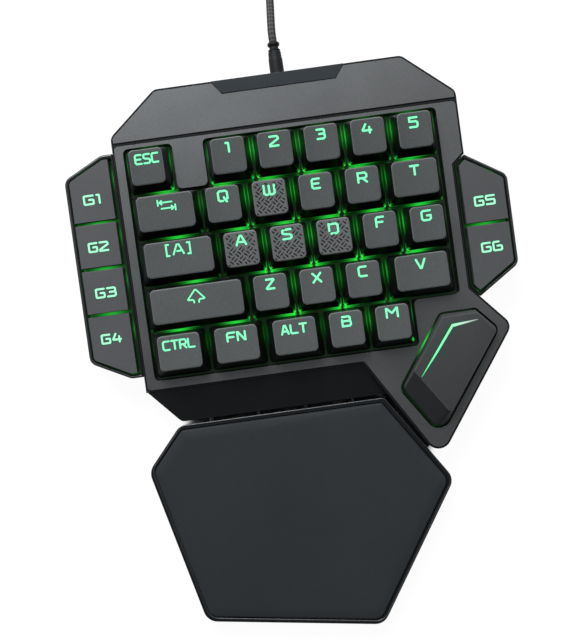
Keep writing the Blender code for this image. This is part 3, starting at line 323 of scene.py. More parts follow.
def ringOf(shape, points):
    return [shape.verts.new(point) for point in points]


def circle(sides):
    return [(math.cos(2 * math.pi * at / sides), math.sin(2 * math.pi * at / sides)) for at in range(sides)]


def leftward(direction):
    return Vector((-direction.y, direction.x))


def skin(shape, rings, index=0, closed=False):
    # Faces over a row of rings, which is joined into a loop or gets two end faces
    for lower, upper in zip(rings, rings[1:]):
        bridge(shape, lower, upper, index)
    if closed:
        bridge(shape, rings[-1], rings[0], index)
    else:
        for end in (rings[0][::-1], rings[-1]):
            shape.faces.new(end).material_index = index


def ridgeRing(shape, middle, side, profile, height):
    # A cross-section of a low ridge on the surface that height() gives: each point's way sideways and up
    spots = [(middle + side * across, up) for across, up in profile]
    return ringOf(shape, [(*spot, height(*spot) + up) for spot, up in spots])


def cylinderInto(shape, sides, radius, depth, middle, index=0):
    skin(shape, [ringOf(shape, [(middle[0] + radius * x, middle[1] + radius * y, middle[2] + up * depth / 2)
                                for x, y in circle(sides)]) for up in (-1, 1)], index)


def settle(shape, matrix=None):
    # Turns the faces outwards, and moves the shape if it was made in another frame
    bmesh.ops.recalc_face_normals(shape, faces=shape.faces)
    if matrix is not None:
        bmesh.ops.transform(shape, matrix=matrix, verts=shape.verts)


def roundedRing(width, depth, corner, middle=Vector((0, 0)), cornerSteps=5, sideSteps=6):
    # Points round a rounded rectangle, anticlockwise, with even steps along its sides
    points = []
    for turn, (x, y) in enumerate(((1, 1), (-1, 1), (-1, -1), (1, -1))):
        centre = Vector((x * (width / 2 - corner), y * (depth / 2 - corner)))
        for step in range(cornerSteps + 1):
            angle = (turn + step / cornerSteps) * math.pi / 2
            points.append(centre + corner * Vector((math.cos(angle), math.sin(angle))))
        if turn % 2 == 0:
            start = Vector((centre.x, centre.y + y * corner))
            end = Vector((-centre.x, start.y))
        else:
            start = Vector((centre.x + x * corner, centre.y))
            end = Vector((start.x, -centre.y))
        for step in range(1, sideSteps):
            points.append(start.lerp(end, step / sideSteps))
    return [point + middle for point in points]


# Keys: node, left edge and width in key pitches, row from the front, then the legend:
# its text, how wide and high it is, its middle on the cap, and its strokes' width, in millimetres
keyTable = (
    ("key_control", 0.0, 0, 1.25, "CTRL", 13.5, 4.2, 0.2, 4.05, 0.72),
    ("key_function", 1.25, 0, 1.25, "FN", 8.1, 4.2, 0.0, 4.05, 0.78),
    ("key_alt", 2.5, 0, 1.25, "ALT", 11.0, 4.2, 0.0, 3.85, 0.75),
    ("key_b", 3.75, 0, 1.0, "B", 4.2, 4.6, 0.15, 4.0, 0.8),
    ("key_m", 4.75, 0, 1.0, "M", 5.3, 4.5, 0.0, 5.0, 0.8),
    ("key_shift", 0.0, 1, 2.25, "up", 7.4, 5.9, 0.3, 3.55, 0.6),
    ("key_z", 2.25, 1, 1.0, "Z", 3.9, 4.6, 0.0, 4.25, 0.8),
    ("key_x", 3.25, 1, 1.0, "X", 4.2, 4.5, 0.1, 4.2, 0.8),
    ("key_c", 4.25, 1, 1.0, "C", 3.9, 4.6, -0.1, 4.2, 0.8),
    ("key_v", 5.25, 1, 1.5, "V", 4.4, 4.4, 0.0, 4.15, 0.8),
    ("key_caps_lock", 0.0, 2, 1.75, "[A]", 10.4, 4.6, 0.55, 4.35, 0.68),
    ("key_a", 1.75, 2, 1.0, "A", 4.8, 4.5, 0.1, 4.4, 0.82),
    ("key_s", 2.75, 2, 1.0, "S", 4.3, 4.6, 0.0, 4.35, 0.82),
    ("key_d", 3.75, 2, 1.0, "D", 4.4, 4.7, 0.05, 4.05, 0.82),
    ("key_f", 4.75, 2, 1.0, "F", 3.9, 4.7, 0.1, 4.2, 0.8),
    ("key_g", 5.75, 2, 1.0, "G", 4.4, 4.6, 0.05, 4.2, 0.8),
    ("key_tab", 0.0, 3, 1.5, "tab", 7.6, 4.9, 0.8, 3.6, 0.6),
    ("key_q", 1.5, 3, 1.0, "Q", 4.5, 4.8, 0.1, 4.15, 0.8),
    ("key_w", 2.5, 3, 1.0, "W", 5.1, 4.6, 0.05, 4.05, 0.85),
    ("key_e", 3.5, 3, 1.0, "E", 3.9, 4.6, 0.1, 4.0, 0.8),
    ("key_r", 4.5, 3, 1.0, "R", 4.3, 4.6, 0.1, 3.85, 0.8),
    ("key_t", 5.5, 3, 1.25, "T", 4.2, 4.4, 0.05, 3.9, 0.8),
    ("key_escape", 0.0, 4, 1.0, "ESC", 10.0, 4.3, 0.3, 4.15, 0.72),
    ("key_1", 1.75, 4, 1.0, "1", 1.9, 4.4, -0.1, 4.2, 0.8),
    ("key_2", 2.75, 4, 1.0, "2", 4.2, 4.6, -0.1, 4.15, 0.8),
    ("key_3", 3.75, 4, 1.0, "3", 3.9, 4.5, 0.0, 4.4, 0.8),
    ("key_4", 4.75, 4, 1.0, "4", 4.4, 4.4, -0.3, 4.05, 0.8),
    ("key_5", 5.75, 4, 1.0, "5", 4.0, 4.6, -0.3, 4.0, 0.8),
)
cap = {
    "pitch": 0.01905,
    "gap": 0.00095,
    "lift": 0.0063,
    "height": 0.009,
    "wall": 0.0014,
    "roof": 0.0018,
    "sideInset": 0.0022,
    "frontInset": 0.0028,
    "rearInset": 0.0009,
    "footCorner": 0.0014,
    "topCorner": 0.0019,
    "rim": 0.0005,
    "dish": 0.0006,
    "belly": 0.006,
    "rimSteps": 4,
    "dishShares": (0.95, 0.86, 0.72, 0.55, 0.35, 0.15),
    "wallShares": (0, 0.03, 0.07, 0.13, 0.22, 0.36, 0.55, 0.78, 1),  # heights of the walls' rings
    "rowHeights": (1.0, 0.97, 0.95, 1.02, 1.12),
    "rowTilts": [math.radians(angle) for angle in (-4.0, -2.5, 0.5, 3.0, 5.0)],
    "slider": (0.0062, 0.0058),
    "sliderFoot": 0.0012,
    "sliderTop": 0.0074,
    "post": 0.0027,
    "postSides": 20,
    "stems": 0.01194,  # the wide shift key's two stems, from its middle
    "stem": (0.0032, 0.0050),
    "trims": {  # what the top of a cap gives up on its left and on its right
        "key_control": (0.0007, 0.0003), "key_function": (0.00045, 0.00045), "key_alt": (0.0006, 0.0003),
        "key_shift": (0.0005, -0.0005), "key_v": (0.001, 0.0006), "key_caps_lock": (0.0006, -0.0003),
        "key_g": (0.0003, -0.0003), "key_tab": (0.0003, -0.0001),
    },
}


def capSizes(node, row, widthShare):
    left, right = cap["trims"].get(node, (0, 0))
    base = (widthShare * cap["pitch"] - cap["gap"], cap["pitch"] - cap["gap"])
    top = (base[0] - 2 * cap["sideInset"] - left - right, base[1] - cap["frontInset"] - cap["rearInset"])
    middle = Vector(((left - right) / 2, (cap["frontInset"] - cap["rearInset"]) / 2))
    crest = cap["lift"] + cap["height"] * cap["rowHeights"][row]
    return base, top, middle, crest, math.tan(cap["rowTilts"][row])


def topHeight(node, row, widthShare):
    # The dished top of a cap, as a function of the place on it
    _, top, middle, crest, slope = capSizes(node, row, widthShare)
    half = top[0] / 2 - cap["rim"]

    def height(x, y):
        return crest + y * slope - cap["dish"] * (1 - min(abs(x - middle.x) / half, 1) ** 2)

    return height


def boxInto(shape, low, high, index):
    # A box with rounded edges, made on its own so that its faces come in the same order in each run
    box = bmesh.new()
    bmesh.ops.create_cube(box, size=1.0)
    for vert in box.verts:
        vert.co = [low[axis] if vert.co[axis] < 0 else high[axis] for axis in range(3)]
    bmesh.ops.bevel(box, geom=list(box.edges), offset=cap["wall"] / 6, segments=2, profile=0.5, affect="EDGES")
    box.verts.index_update()
    verts = ringOf(shape, [vert.co for vert in box.verts])
    for face in box.faces:
        shape.faces.new([verts[vert.index] for vert in face.verts]).material_index = index
    box.free()


def sliderInto(shape, x, y, roof, wall, index):
    # The slider that stands in the switch, and the post that joins it to the roof of the cap
    halfX, halfY = cap["slider"][0] / 2, cap["slider"][1] / 2
    boxInto(shape, (x - halfX, y - halfY, cap["sliderFoot"]), (x + halfX, y + halfY, cap["sliderTop"]), index)
    cylinderInto(shape, cap["postSides"], cap["post"], roof - cap["sliderTop"] + wall / 4,
                 (x, y, (roof + cap["sliderTop"]) / 2), index)


# The lamps under the keys, painted as glow on a sheet over the plate: how brightly each one shows behind its key and
# beside it
film = {
    "cell": 0.00045,
    "thickness": 0.0001,
    "lift": 0.00015,
    "housing": 0.0078,  # half the square that a switch takes
    "stemRoom": (0.0036, 0.0052),  # and a side stem of the shift key
    "edges": (-0.0003, -0.0005, 0.1295, 0.09575),
    "tongue": (0.0195, 0.0325, 0.0758),  # the frame's bar between two keys: left, right, lower end
    "frontEnd": 0.1099,  # where the front row of keys ends
    "floor": 0.006,
    "lamp": (0.0052, 0.0070, 0.0030, 0.06),  # how far behind the key, size across and along, amount
    "streak": (0.0095, 0.0040, 0.0011, 0.55),
    "crossing": 0.0007,  # half the width of the painted shade where four keys meet, taken out of the painted glow
    "crossingAlong": 1.5,  # its length, as a share of the streak's
    "crossingAmount": -1.1,
    "nearness": 1.6,  # how far beyond a streak's own width the crossings are still touched
    # Small painted glints beside each crossing: how far out, size across and along, amount
    "tick": (0.0013, 0.0003, 0.0005, 0.9),
    "side": (0.0034, 0.0005, 0.0036),
    "sideLevel": 0.11,
    "rearShares": {"key_escape": 0.4, "key_1": 0.25, "key_2": 0.5, "key_3": 0.4, "key_4": 0.6, "key_5": 0.9},
    "streakShares": {"key_m": 0.2},
    "sideShares": {  # the gap on a key's left
        "key_escape": 0.3, "key_tab": 0.1, "key_caps_lock": 0.05, "key_shift": 0.05, "key_control": 0.06,
        "key_1": 0.2, "key_2": 0.42, "key_3": 0.3, "key_4": 0.4, "key_5": 0.3, "key_q": 0.16, "key_w": 0.3,
        "key_e": 0.3, "key_r": 0.22, "key_t": 0.2, "key_a": 0.1, "key_s": 0.28, "key_d": 0.34, "key_f": 0.22,
        "key_g": 0.34, "key_z": 0.06, "key_x": 0.26, "key_c": 0.16, "key_v": 0.22, "key_function": 0.06,
        "key_alt": 0.06, "key_b": 0.07, "key_m": 0.26,
    },
    "endShares": {"key_escape": 0.16, "key_5": 0.3, "key_t": 0.12, "key_g": 0.14, "key_v": 0.04, "key_m": 0.22},
}
# The lamps' light on the walls of the caps, painted on as glow: the lamp of a key in the row in front lights the foot
# of the front wall, and a key's own lamp lights its side walls
wallGlow = {
    "reach": 0.0047,
    "foot": 0.05,  # how far up the front wall, as a share of it
    "arc": 0.1,  # how far in from both edges a corner's own points lie, as a share of its radius
    "corner": 0.3,
    "cornerReach": 0.0075,
    "cornerAmount": 0.9,
    "side": (0.0034, 0.0034, 1.3),  # behind the key's middle, length, amount
    "sideFoot": (0.1, 0.085),  # how far up the side wall, and how wide a share of it
    "lonely": {"key_m": 0.7},  # a painted bright glint on a corner without a lamp in front of it
    "lonelyFoot": (0.45, 0.25),
    "most": 1.2,
}


def glowOnWall(node, left, row, widthShare, x, y, share):
    middle = (left + widthShare / 2) * cap["pitch"]
    halfX, halfY = (widthShare * cap["pitch"] - cap["gap"]) / 2, (cap["pitch"] - cap["gap"]) / 2
    total = 0.0
    atFront = y < -halfY + cap["footCorner"]
    turned = min(halfX - abs(x), halfY - abs(y)) > cap["footCorner"] * wallGlow["arc"]
    for other, otherLeft, otherRow, otherWidth, *_ in keyTable:
        if otherRow != row - 1 or not atFront:
            continue
        away = middle + x - (otherLeft + otherWidth / 2) * cap["pitch"]
        amount = film["streakShares"].get(other, 1)
        total += amount * math.exp(-(away / wallGlow["reach"]) ** 2 - (share / wallGlow["foot"]) ** 2)
        if turned:
            total += (amount * wallGlow["cornerAmount"] * math.exp(-(away / wallGlow["cornerReach"]) ** 2)
                      * max(0, 1 - share / wallGlow["corner"]))
    if turned and atFront and x > 0:
        spot, reach = wallGlow["lonelyFoot"]
        total += wallGlow["lonely"].get(node, 0) * max(0, 1 - abs(share - spot) / reach)
    if abs(x) > halfX - cap["footCorner"]:
        behind, length, amount = wallGlow["side"]
        sideFoot, sideReach = wallGlow["sideFoot"]
        beside = film["sideShares"].get(node, 0)
        if x > 0:
            beside = film["endShares"].get(node, rightShare(left, row, widthShare))
        total += (amount * beside * math.exp(-((y - behind) / length) ** 2)
                  * math.exp(-((share - sideFoot) / sideReach) ** 2))
    return min(total, wallGlow["most"])


def rightShare(left, row, widthShare):
    # The gap on a key's right is the gap on its neighbour's left
    return next((film["sideShares"].get(other, 0) for other, otherLeft, otherRow, *_ in keyTable
                 if otherRow == row and abs(otherLeft - left - widthShare) < 0.01), 0)


def capShape(node, left, row, widthShare):
    base, top, middle, crest, slope = capSizes(node, row, widthShare)
    height = topHeight(node, row, widthShare)
    foot = roundedRing(*base, cap["footCorner"])
    shoulder = roundedRing(*top, cap["topCorner"], middle)
    shape = bmesh.new()

    def over(outline, drop=0.0):
        return ringOf(shape, [(x, y, height(x, y) - drop) for x, y in outline])

    rings = []
    wallSteps = len(cap["wallShares"]) - 1
    layer = shape.verts.layers.float.new("glow")
    for share in cap["wallShares"]:  # the walls, bellied out by a hair
        belly = 1 + cap["belly"] * math.sin(math.pi * share)
        ring = []
        for low, high in zip(foot, shoulder):
            x, y = low.lerp(high, share)
            z = cap["lift"] * (1 - share) + (height(high.x, high.y) - cap["rim"]) * share
            ring.append((x * belly, y, z))
        rings.append(ringOf(shape, ring))
        # Painted lamp glow on each point of the wall
        for vert, (x, y) in zip(rings[-1], foot):
            vert[layer] = glowOnWall(node, left, row, widthShare, x, y, share)
    rimSteps = cap["rimSteps"]
    for step in range(1, rimSteps + 1):  # the rounded rim
        angle = math.pi / 2 * step / rimSteps
        inset = cap["rim"] * (1 - math.cos(angle))
        outline = roundedRing(top[0] - 2 * inset, top[1] - 2 * inset, cap["topCorner"] - inset, middle)
        rings.append(over(outline, cap["rim"] * (1 - math.sin(angle))))
    dishOutline = roundedRing(top[0] - 2 * cap["rim"], top[1] - 2 * cap["rim"], cap["topCorner"] - cap["rim"], middle)
    rings += [over([middle.lerp(point, share) for point in dishOutline]) for share in cap["dishShares"]]
    # The walls take the painted-shade wall finish, the rounded rim the painted-highlight finish, and the dish the top
    # finish
    for at, (lower, upper) in enumerate(zip(rings, rings[1:])):
        bridge(shape, lower, upper, 1 if at < wallSteps else 3 if at < wallSteps + rimSteps - 1 else 0)
    pole = shape.verts.new((*middle, height(*middle)))
    last = rings[-1]
    for at, vert in enumerate(last):
        shape.faces.new((vert, last[(at + 1) % len(last)], pole))
    # The hollow underneath
    wall = cap["wall"]
    mouth = ringOf(shape, [(x, y, cap["lift"]) for x, y in
                           roundedRing(base[0] - 2 * wall, base[1] - 2 * wall, cap["footCorner"] / 2)])
    ceiling = ringOf(shape, [(x, y, crest - cap["roof"] + y * slope) for x, y in
                             roundedRing(top[0] - 2 * wall, top[1] - 2 * wall, cap["topCorner"] / 2, middle)])
    bridge(shape, mouth, rings[0], 1)
    bridge(shape, ceiling, mouth, 2)
    shape.faces.new(ceiling[::-1]).material_index = 2
    roof = crest - cap["roof"]
    sliderInto(shape, 0, 0, roof, wall, 2)
    if node == "key_shift":
        halfX, halfY = cap["stem"][0] / 2, cap["stem"][1] / 2
        for side in (-cap["stems"], cap["stems"]):
            boxInto(shape, (side - halfX, -halfY, cap["sliderFoot"]), (side + halfX, halfY, roof + wall / 4), 2)
    bmesh.ops.recalc_face_normals(shape, faces=shape.faces)
    return shape


# Legends: strokes on a grid 4 wide and 5 high
glyphs = {
    "A": ["0,0 1.6,5 2.4,5 4,0", "1.5,1.6 2.9,1.6"],
    "B": ["0.1,5 3.3,5 3.8,4.5 3.8,3.2 3.3,2.7 0.9,2.7", "3.2,2.7 4,2.1 4,0.6 3.4,0 0,0 0,3.5"],
    "C": ["4,5 0.7,5 0,4.3 0,0.7 0.7,0 4,0"],
    "D": ["0,1.5 0,5 3.3,5 4,4.3 4,0.7 3.3,0 0.7,0"],
    "E": ["4,5 0.7,5 0,4.3 0,0.7 0.7,0 4,0", "0,2.5 3.5,2.5"],
    "F": ["4,5 0.7,5 0,4.3 0,0", "0,2.4 3.4,2.4"],
    "G": ["4,5 0.7,5 0,4.3 0,0.7 0.7,0 3.3,0 4,0.7 4,2.4 2.3,2.4"],
    "L": ["0,5 0,0.6 0.6,0 4,0"],
    "M": ["0,0 0,4.8 0.3,4.8 1.85,2.4 2.15,2.4 3.7,4.8 4,4.8 4,0"],
    "N": ["0,0 0,4.9 0.4,4.9 3.6,0.1 4,0.1 4,5"],
    "Q": ["1.9,0 0.7,0 0,0.7 0,4.3 0.7,5 3.3,5 4,4.3 4,1", "2.4,1.9 2.8,0.6 3.6,-0.5", "2.9,0.4 4,1.2"],
    "R": ["0,0 0,5 3.3,5 4,4.3 4,2.9 3.3,2.2 0.2,2.2", "2,2.2 4,0"],
    "S": ["4,5 0.7,5 0,4.4 0,3.2 0.7,2.7 3.3,2.3 4,1.8 4,0.6 3.3,0 0,0"],
    "T": ["0,5 4,5", "2,5 2,0"],
    "V": ["0,5 1.75,0 2.25,0 4,5"],
    "W": ["0,5 0,0.7 0.7,0 3.3,0 4,0.7 4,5", "2,4.8 2,0"],
    "X": ["0.1,5 3.9,0", "0.1,0 3.9,5"],
    "Z": ["0,5 3.8,5 4,4.6 0,0.4 0.2,0 4,0"],
    "1": ["0,5 0.9,5 1.1,4.8 1.1,0"],
    "2": ["0,5 3.4,5 4,4.4 4,3.5 0,0.8 0,0 4,0"],
    "3": ["0,5 3.4,5 3.9,4.5 3.9,3.1 3.4,2.6 1.1,2.6", "3.3,2.6 4,2 4,0.6 3.4,0 0,0"],
    "4": ["1.6,5 0.1,1.9 0.3,1.5 4,1.5", "3.2,3.3 3.2,0"],
    "5": ["3.9,5 0,5 0,3 3.3,2.9 4,2.3 4,0.6 3.4,0 0,0"],
    "6": ["2.8,5 0.4,5 0,4.6 0,0.4 0.4,0 3.6,0 4,0.4 4,2.2 3.6,2.6 1.8,2.6"],
    "[": ["1,5.4 0,5.4 0,-0.4 1,-0.4"],
    "]": ["0,5.4 1,5.4 1,-0.4 0,-0.4"],
    "g": ["4,5 0.4,5 0,4.7 0,0.3 0.4,0 3.6,0 4,0.3 4,2.3 3.7,2.6 2.1,2.6"],
    "s": ["4,5 0.3,5 0,4.7 0,3 0.3,2.7 3.7,2.7 4,2.4 4,0.3 3.7,0 0,0"],
    "up": ["1.4,0 1.4,0.7 1.1,1.2 0.1,1.2 0,1.45 1.85,4.9 2.15,4.9 4,1.45 3.9,1.2 2.9,1.2 2.6,0.7 2.6,0"],
    "tab": ["0,5.2 0,2.6", "0.3,3.9 3.3,3.9", "0.9,4.8 0.4,3.9 0.9,3", "4,2.4 4,-0.2", "0.7,1.1 3.7,1.1",
            "3.1,2 3.6,1.1 3.1,0.2"],
}
glyphSize = 5  # how high the grid is
glyphGap = 1.5
legendFacts = {
    "bold": 1.2,
    "edge": 0.00027,
    "edgeRise": 0.00002,
    "rise": 0.00005,
    "sink": 0.0001,
    "step": 0.0007,
    "endAngles": [math.radians(angle) for angle in (35, 65, 88)],  # the stations of a rounded end
    "endReach": 0.8,
    "leastHalf": 0.05,
    "leastTurn": 0.5,  # keeps a sharp bend from growing too wide
}


def legendLines(text, width, height, middle, stroke):
    # The centre lines of a legend's strokes, in metres on the cap
    marks = [text] if text in glyphs else list(text)
    wide = [max(float(pair.split(",")[0]) for line in glyphs[mark] for pair in line.split()) for mark in marks]
    total = sum(wide) + glyphGap * (len(marks) - 1)
    scaleX = (width - stroke) / total
    scaleY = (height - stroke) / glyphSize
    lines = []
    start = 0.0
    for mark, advance in zip(marks, wide):
        for line in glyphs[mark]:
            pairs = [[float(part) for part in pair.split(",")] for pair in line.split()]
            lines.append([Vector(((start + x - total / 2) * scaleX + middle[0],
                                  (y - glyphSize / 2) * scaleY + middle[1])) for x, y in pairs])
        start += advance + glyphGap
    return lines


def strokeSections(line, half):
    # Stations along a stroke: place, sideways direction and half width, rounded off at both ends
    points = [line[0]]
    for start, end in zip(line, line[1:]):
        pieces = max(1, round((end - start).length / legendFacts["step"]))
        points += [start.lerp(end, at / pieces) for at in range(1, pieces + 1)]
    stations = []
    for at, point in enumerate(points):
        ahead = points[min(at + 1, len(points) - 1)] - point
        behind = point - points[max(at - 1, 0)]
        ahead = ahead.normalized() if ahead.length else behind.normalized()
        behind = behind.normalized() if behind.length else ahead
        side = leftward((ahead + behind).normalized())
        stations.append((point, side, half / max(side.dot(leftward(ahead)), legendFacts["leastTurn"])))
    for end in (0, -1):
        point, side, _ = stations[end]
        outward = Vector((side.y, -side.x)) * (-1 if end == 0 else 1)
        extra = [(point + outward * half * math.sin(angle) * legendFacts["endReach"], side,
                  max(half * math.cos(angle), half * legendFacts["leastHalf"])) for angle in legendFacts["endAngles"]]
        stations = extra[::-1] + stations if end == 0 else stations + extra
    return stations


def strokesInto(shape, lines, half, rise, height, index):
    # Low flat ridges along the lines, sunk a little into the surface that height() gives
    sink = legendFacts["sink"]
    profile = ((-1, -sink), (-0.92, rise * 0.7), (-0.55, rise), (0.55, rise), (0.92, rise * 0.7), (1, -sink))
    for line in lines:
        skin(shape, [ridgeRing(shape, point, side, [(across * width, up) for across, up in profile], height)
                     for point, side, width in strokeSections(line, half)], index)


def legend(name, lines, stroke, height, matrix, body, finish):
    shape = bmesh.new()
    half = stroke / 2 * legendFacts["bold"]
    # The wider, lower ridge under the strokes carries the painted glow halo
    strokesInto(shape, lines, half + legendFacts["edge"], legendFacts["edgeRise"], height, 1)
    strokesInto(shape, lines, half, legendFacts["rise"], height, 0)
    settle(shape, matrix)
    newPiece(name, shape, (finish, paintedGlowHalo), body)


# Tread caps: short raised bars in pairs, each pair square to the pairs beside it
tread = {
    "keys": ("key_w", "key_a", "key_s", "key_d"),
    "cell": 0.00255,  # bars lie in pairs, pair against pair
    "length": 0.0022,
    "apart": 0.00064,  # half the distance between the bars of a pair
    "width": 0.00078,
    "rise": 0.00012,
    "lean": math.radians(43),
    "least": 0.0006,
    "legendClear": 0.0002,
    "reach": 6,  # cells to each side of the middle
    "lengthwise": ((0, 0.15, -0.2), (0.08, 0.6, 0.35), (0.2, 0.95, 0.8), (0.5, 1, 1),  # share, width, rise
                   (0.8, 0.95, 0.8), (0.92, 0.6, 0.35), (1, 0.15, -0.2)),
    "crosswise": ((-1, -0.3), (-0.5, 0.85), (0.5, 0.85), (1, -0.3)),
}


def clipped(start, end, low, high):
    # The part of a line inside a box, or nothing
    first, last = 0.0, 1.0
    for axis in range(2):
        run = end[axis] - start[axis]
        if abs(run) < 1e-9:
            continue
        near, far = sorted(((low[axis] - start[axis]) / run, (high[axis] - start[axis]) / run))
        first, last = max(first, near), min(last, far)
    if (last - first) * (end - start).length < tread["least"]:
        return None
    return start.lerp(end, first), start.lerp(end, last)


def treadInto(shape, node, row, widthShare, height, legendBox):
    _, top, middle, _, _ = capSizes(node, row, widthShare)
    margin = cap["rim"] + tread["width"] / 2
    half = Vector((top[0] / 2 - margin, top[1] / 2 - margin))
    leans = [Vector((side * math.sin(tread["lean"]), math.cos(tread["lean"]))) for side in (1, -1)]
    reach = tread["reach"]
    for first in range(-reach, reach + 1):
        for second in range(-reach, reach + 1):
            centre = middle + tread["cell"] * (first * leans[0] + second * leans[1])
            along = leans[(first + second) % 2]
            across = leftward(along)
            for side in (-1, 1):
                spot = centre + across * side * tread["apart"]
                if abs(spot.x - legendBox[0]) < legendBox[2] and abs(spot.y - legendBox[1]) < legendBox[3]:
                    continue
                ends = clipped(spot - along * tread["length"] / 2, spot + along * tread["length"] / 2,
                               middle - half, middle + half)
                if ends:
                    barInto(shape, *ends, across, height)


def barInto(shape, start, end, across, height):
    half = tread["width"] / 2
    skin(shape, [ridgeRing(shape, start.lerp(end, share), across,
                           [(side * width * half, tread["rise"] * rise * up) for side, up in tread["crosswise"]],
                           height) for share, width, rise in tread["lengthwise"]], 4)


def pieceName(node, suffix=""):
    first, *others = node.split("_")
    return first + "".join(word.capitalize() for word in others) + suffix


def makeKeys():
    for node, left, row, width, text, wide, high, middleX, middleY, stroke in keyTable:
        place = ((left + width / 2) * cap["pitch"], (row + 0.5) * cap["pitch"])
        matrix = deckMatrix @ Matrix.Translation((*place, 0))
        height = topHeight(node, row, width)
        shape = capShape(node, left, row, width)
        if node in tread["keys"]:
            clear = tread["legendClear"]
            legendBox = (middleX / 1000, middleY / 1000, wide / 2000 + clear, high / 2000 + clear)
            treadInto(shape, node, row, width, height, legendBox)
        bmesh.ops.transform(shape, matrix=matrix, verts=shape.verts)
        finish = (treadTop if node in tread["keys"] else capTop, capWallShadeGlow, capInside, capRimHighlight, treadBar)
        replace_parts(newPiece(pieceName(node, "Cap"), shape, finish, node), node)
        lines = legendLines(text, wide / 1000, high / 1000, (middleX / 1000, middleY / 1000), stroke / 1000)
        legend(pieceName(node, "Legend"), lines, stroke / 1000, height, matrix, node, legendGlow)


makeKeys()
print("keycaps and legends made")


# Side keys keep their CAD shape; their legends lie on the flat tops
sideLegends = {
    "top": 0.0073,
    "stroke": 0.00074,
    "height": 0.0042,
    "spots": (  # body, text, middle x and y on the deck, width, all in millimetres
        ("macro_key_1", "g1", -15.9, 77.3, 7.1), ("macro_key_2", "g2", -15.9, 57.7, 8.6),
        ("macro_key_3", "g3", -15.5, 38.6, 8.8), ("macro_key_4", "g4", -15.9, 19.5, 8.6),
        ("macro_key_5", "gs", 144.8, 55.0, 8.8), ("macro_key_6", "g6", 145.3, 35.7, 8.9),
    ),
}


def makeSideLegends():
    for body, text, x, y, width in sideLegends["spots"]:
        lines = legendLines(text, width / 1000, sideLegends["height"], (0, 0), sideLegends["stroke"])
        matrix = deckMatrix @ Matrix.Translation((x / 1000, y / 1000, sideLegends["top"]))
        legend(pieceName(body, "Legend"), lines, sideLegends["stroke"], lambda x, y: 0.0, matrix, body,
               sideLegendGlow)


makeSideLegends()
print("side legends made")


# Light films: thin sheets on the switch plate and in the wings that glow with painted lamp light, brightest by each
# lamp
def filmGrid(name, inside, brightness, box, cell, top, body):
    # Thin square cells wherever inside(x, y) holds, in the deck's frame, with the glow kept at each corner
    shape = bmesh.new()
    layer = shape.verts.layers.float.new("glow")
    corners = {}

    def corner(column, line, level):
        if (column, line, level) not in corners:
            place = (box[0] + column * cell, box[1] + line * cell, top - level * film["thickness"])
            corners[(column, line, level)] = shape.verts.new(place)
        return corners[(column, line, level)]

    cells = {(column, line): ((column, line), (column + 1, line), (column + 1, line + 1), (column, line + 1))
             for column in range(round((box[2] - box[0]) / cell)) for line in range(round((box[3] - box[1]) / cell))
             if inside(box[0] + (column + 0.5) * cell, box[1] + (line + 0.5) * cell)}
    for (column, line), places in cells.items():
        shape.faces.new([corner(*place, 0) for place in places])
        shape.faces.new([corner(*place, 1) for place in places[::-1]])
        beside = ((column, line - 1), (column + 1, line), (column, line + 1), (column - 1, line))
        for start, end, other in zip(places, places[1:] + places[:1], beside):
            if other not in cells:  # a side wall
                shape.faces.new((corner(*start, 0), corner(*start, 1), corner(*end, 1), corner(*end, 0)))
    shares = brightness(np.array([vert.co[:2] for vert in shape.verts]))
    for vert, share in zip(shape.verts, shares):
        vert[layer] = float(share)
    settle(shape, deckMatrix)
    newPiece(name, shape, (filmGlow,), body)


def clearOf(x, y, holes):
    # Outside every hole, which is given by its middle and half its sizes
    return all(abs(x - holeX) > halfX or abs(y - holeY) > halfY for holeX, holeY, halfX, halfY in holes)


def spotsGlow(points, spots):
    total = np.zeros(len(points))
    for x, y, sizeX, sizeY, amount in spots:
        total += amount * np.exp(-((points[:, 0] - x) / sizeX) ** 2 - ((points[:, 1] - y) / sizeY) ** 2)
    return total


def plateSpots():
    pitch = cap["pitch"]
    spots = []
    borders = {row: sorted({left * pitch for _, left, at, *_ in keyTable if at == row and left > 0})
               for row in range(6)}
    for node, left, row, width, *_ in keyTable:
        x, y = (left + width / 2) * pitch, (row + 0.5) * pitch
        behind, across, along, amount = film["lamp"]
        spots.append((x, y + behind, across, along, amount))
        behind, across, along, amount = film["streak"]
        amount *= film["streakShares"].get(node, film["rearShares"].get(node, 1))
        spots.append((x, y + behind, across, along, amount))
        out, tickAcross, tickAlong, tickAmount = film["tick"]
        for border in borders[row + 1]:
            nearness = math.exp(-((border - x) / (film["nearness"] * across)) ** 2)
            spots.append((border, y + behind, film["crossing"], along * film["crossingAlong"],
                          film["crossingAmount"] * amount * nearness))
            for side in (-out, out):
                spots.append((border + side, y + behind, tickAcross, tickAlong, tickAmount * amount * nearness))
        behind, across, along = film["side"]
        for place, share in ((left * pitch, film["sideShares"].get(node, 0)),
                             ((left + width) * pitch, film["endShares"].get(node, 0))):
            spots.append((place, y + behind, across, along, share * film["sideLevel"]))
    return spots


def makePlateFilm():
    pitch = cap["pitch"]
    half = film["housing"]
    places = [((left + width / 2) * pitch, (row + 0.5) * pitch, half, half) for _, left, row, width, *_ in keyTable]
    places += [(x + side * cap["stems"], y, *film["stemRoom"])
               for (x, y, *_), (node, *_) in zip(places, keyTable) if node == "key_shift" for side in (-1, 1)]
    spots = plateSpots()

    def inside(x, y):
        if y < pitch - film["cell"] and x > film["frontEnd"]:
            return False
        left, right, end = film["tongue"]
        if left < x < right and y > end:
            return False
        return clearOf(x, y, places)

    def brightness(points):
        return np.maximum(film["floor"] + spotsGlow(points, spots), film["floor"] / 2)

    filmGrid("plateFilm", inside, brightness, film["edges"], film["cell"], film["lift"], "keypad")


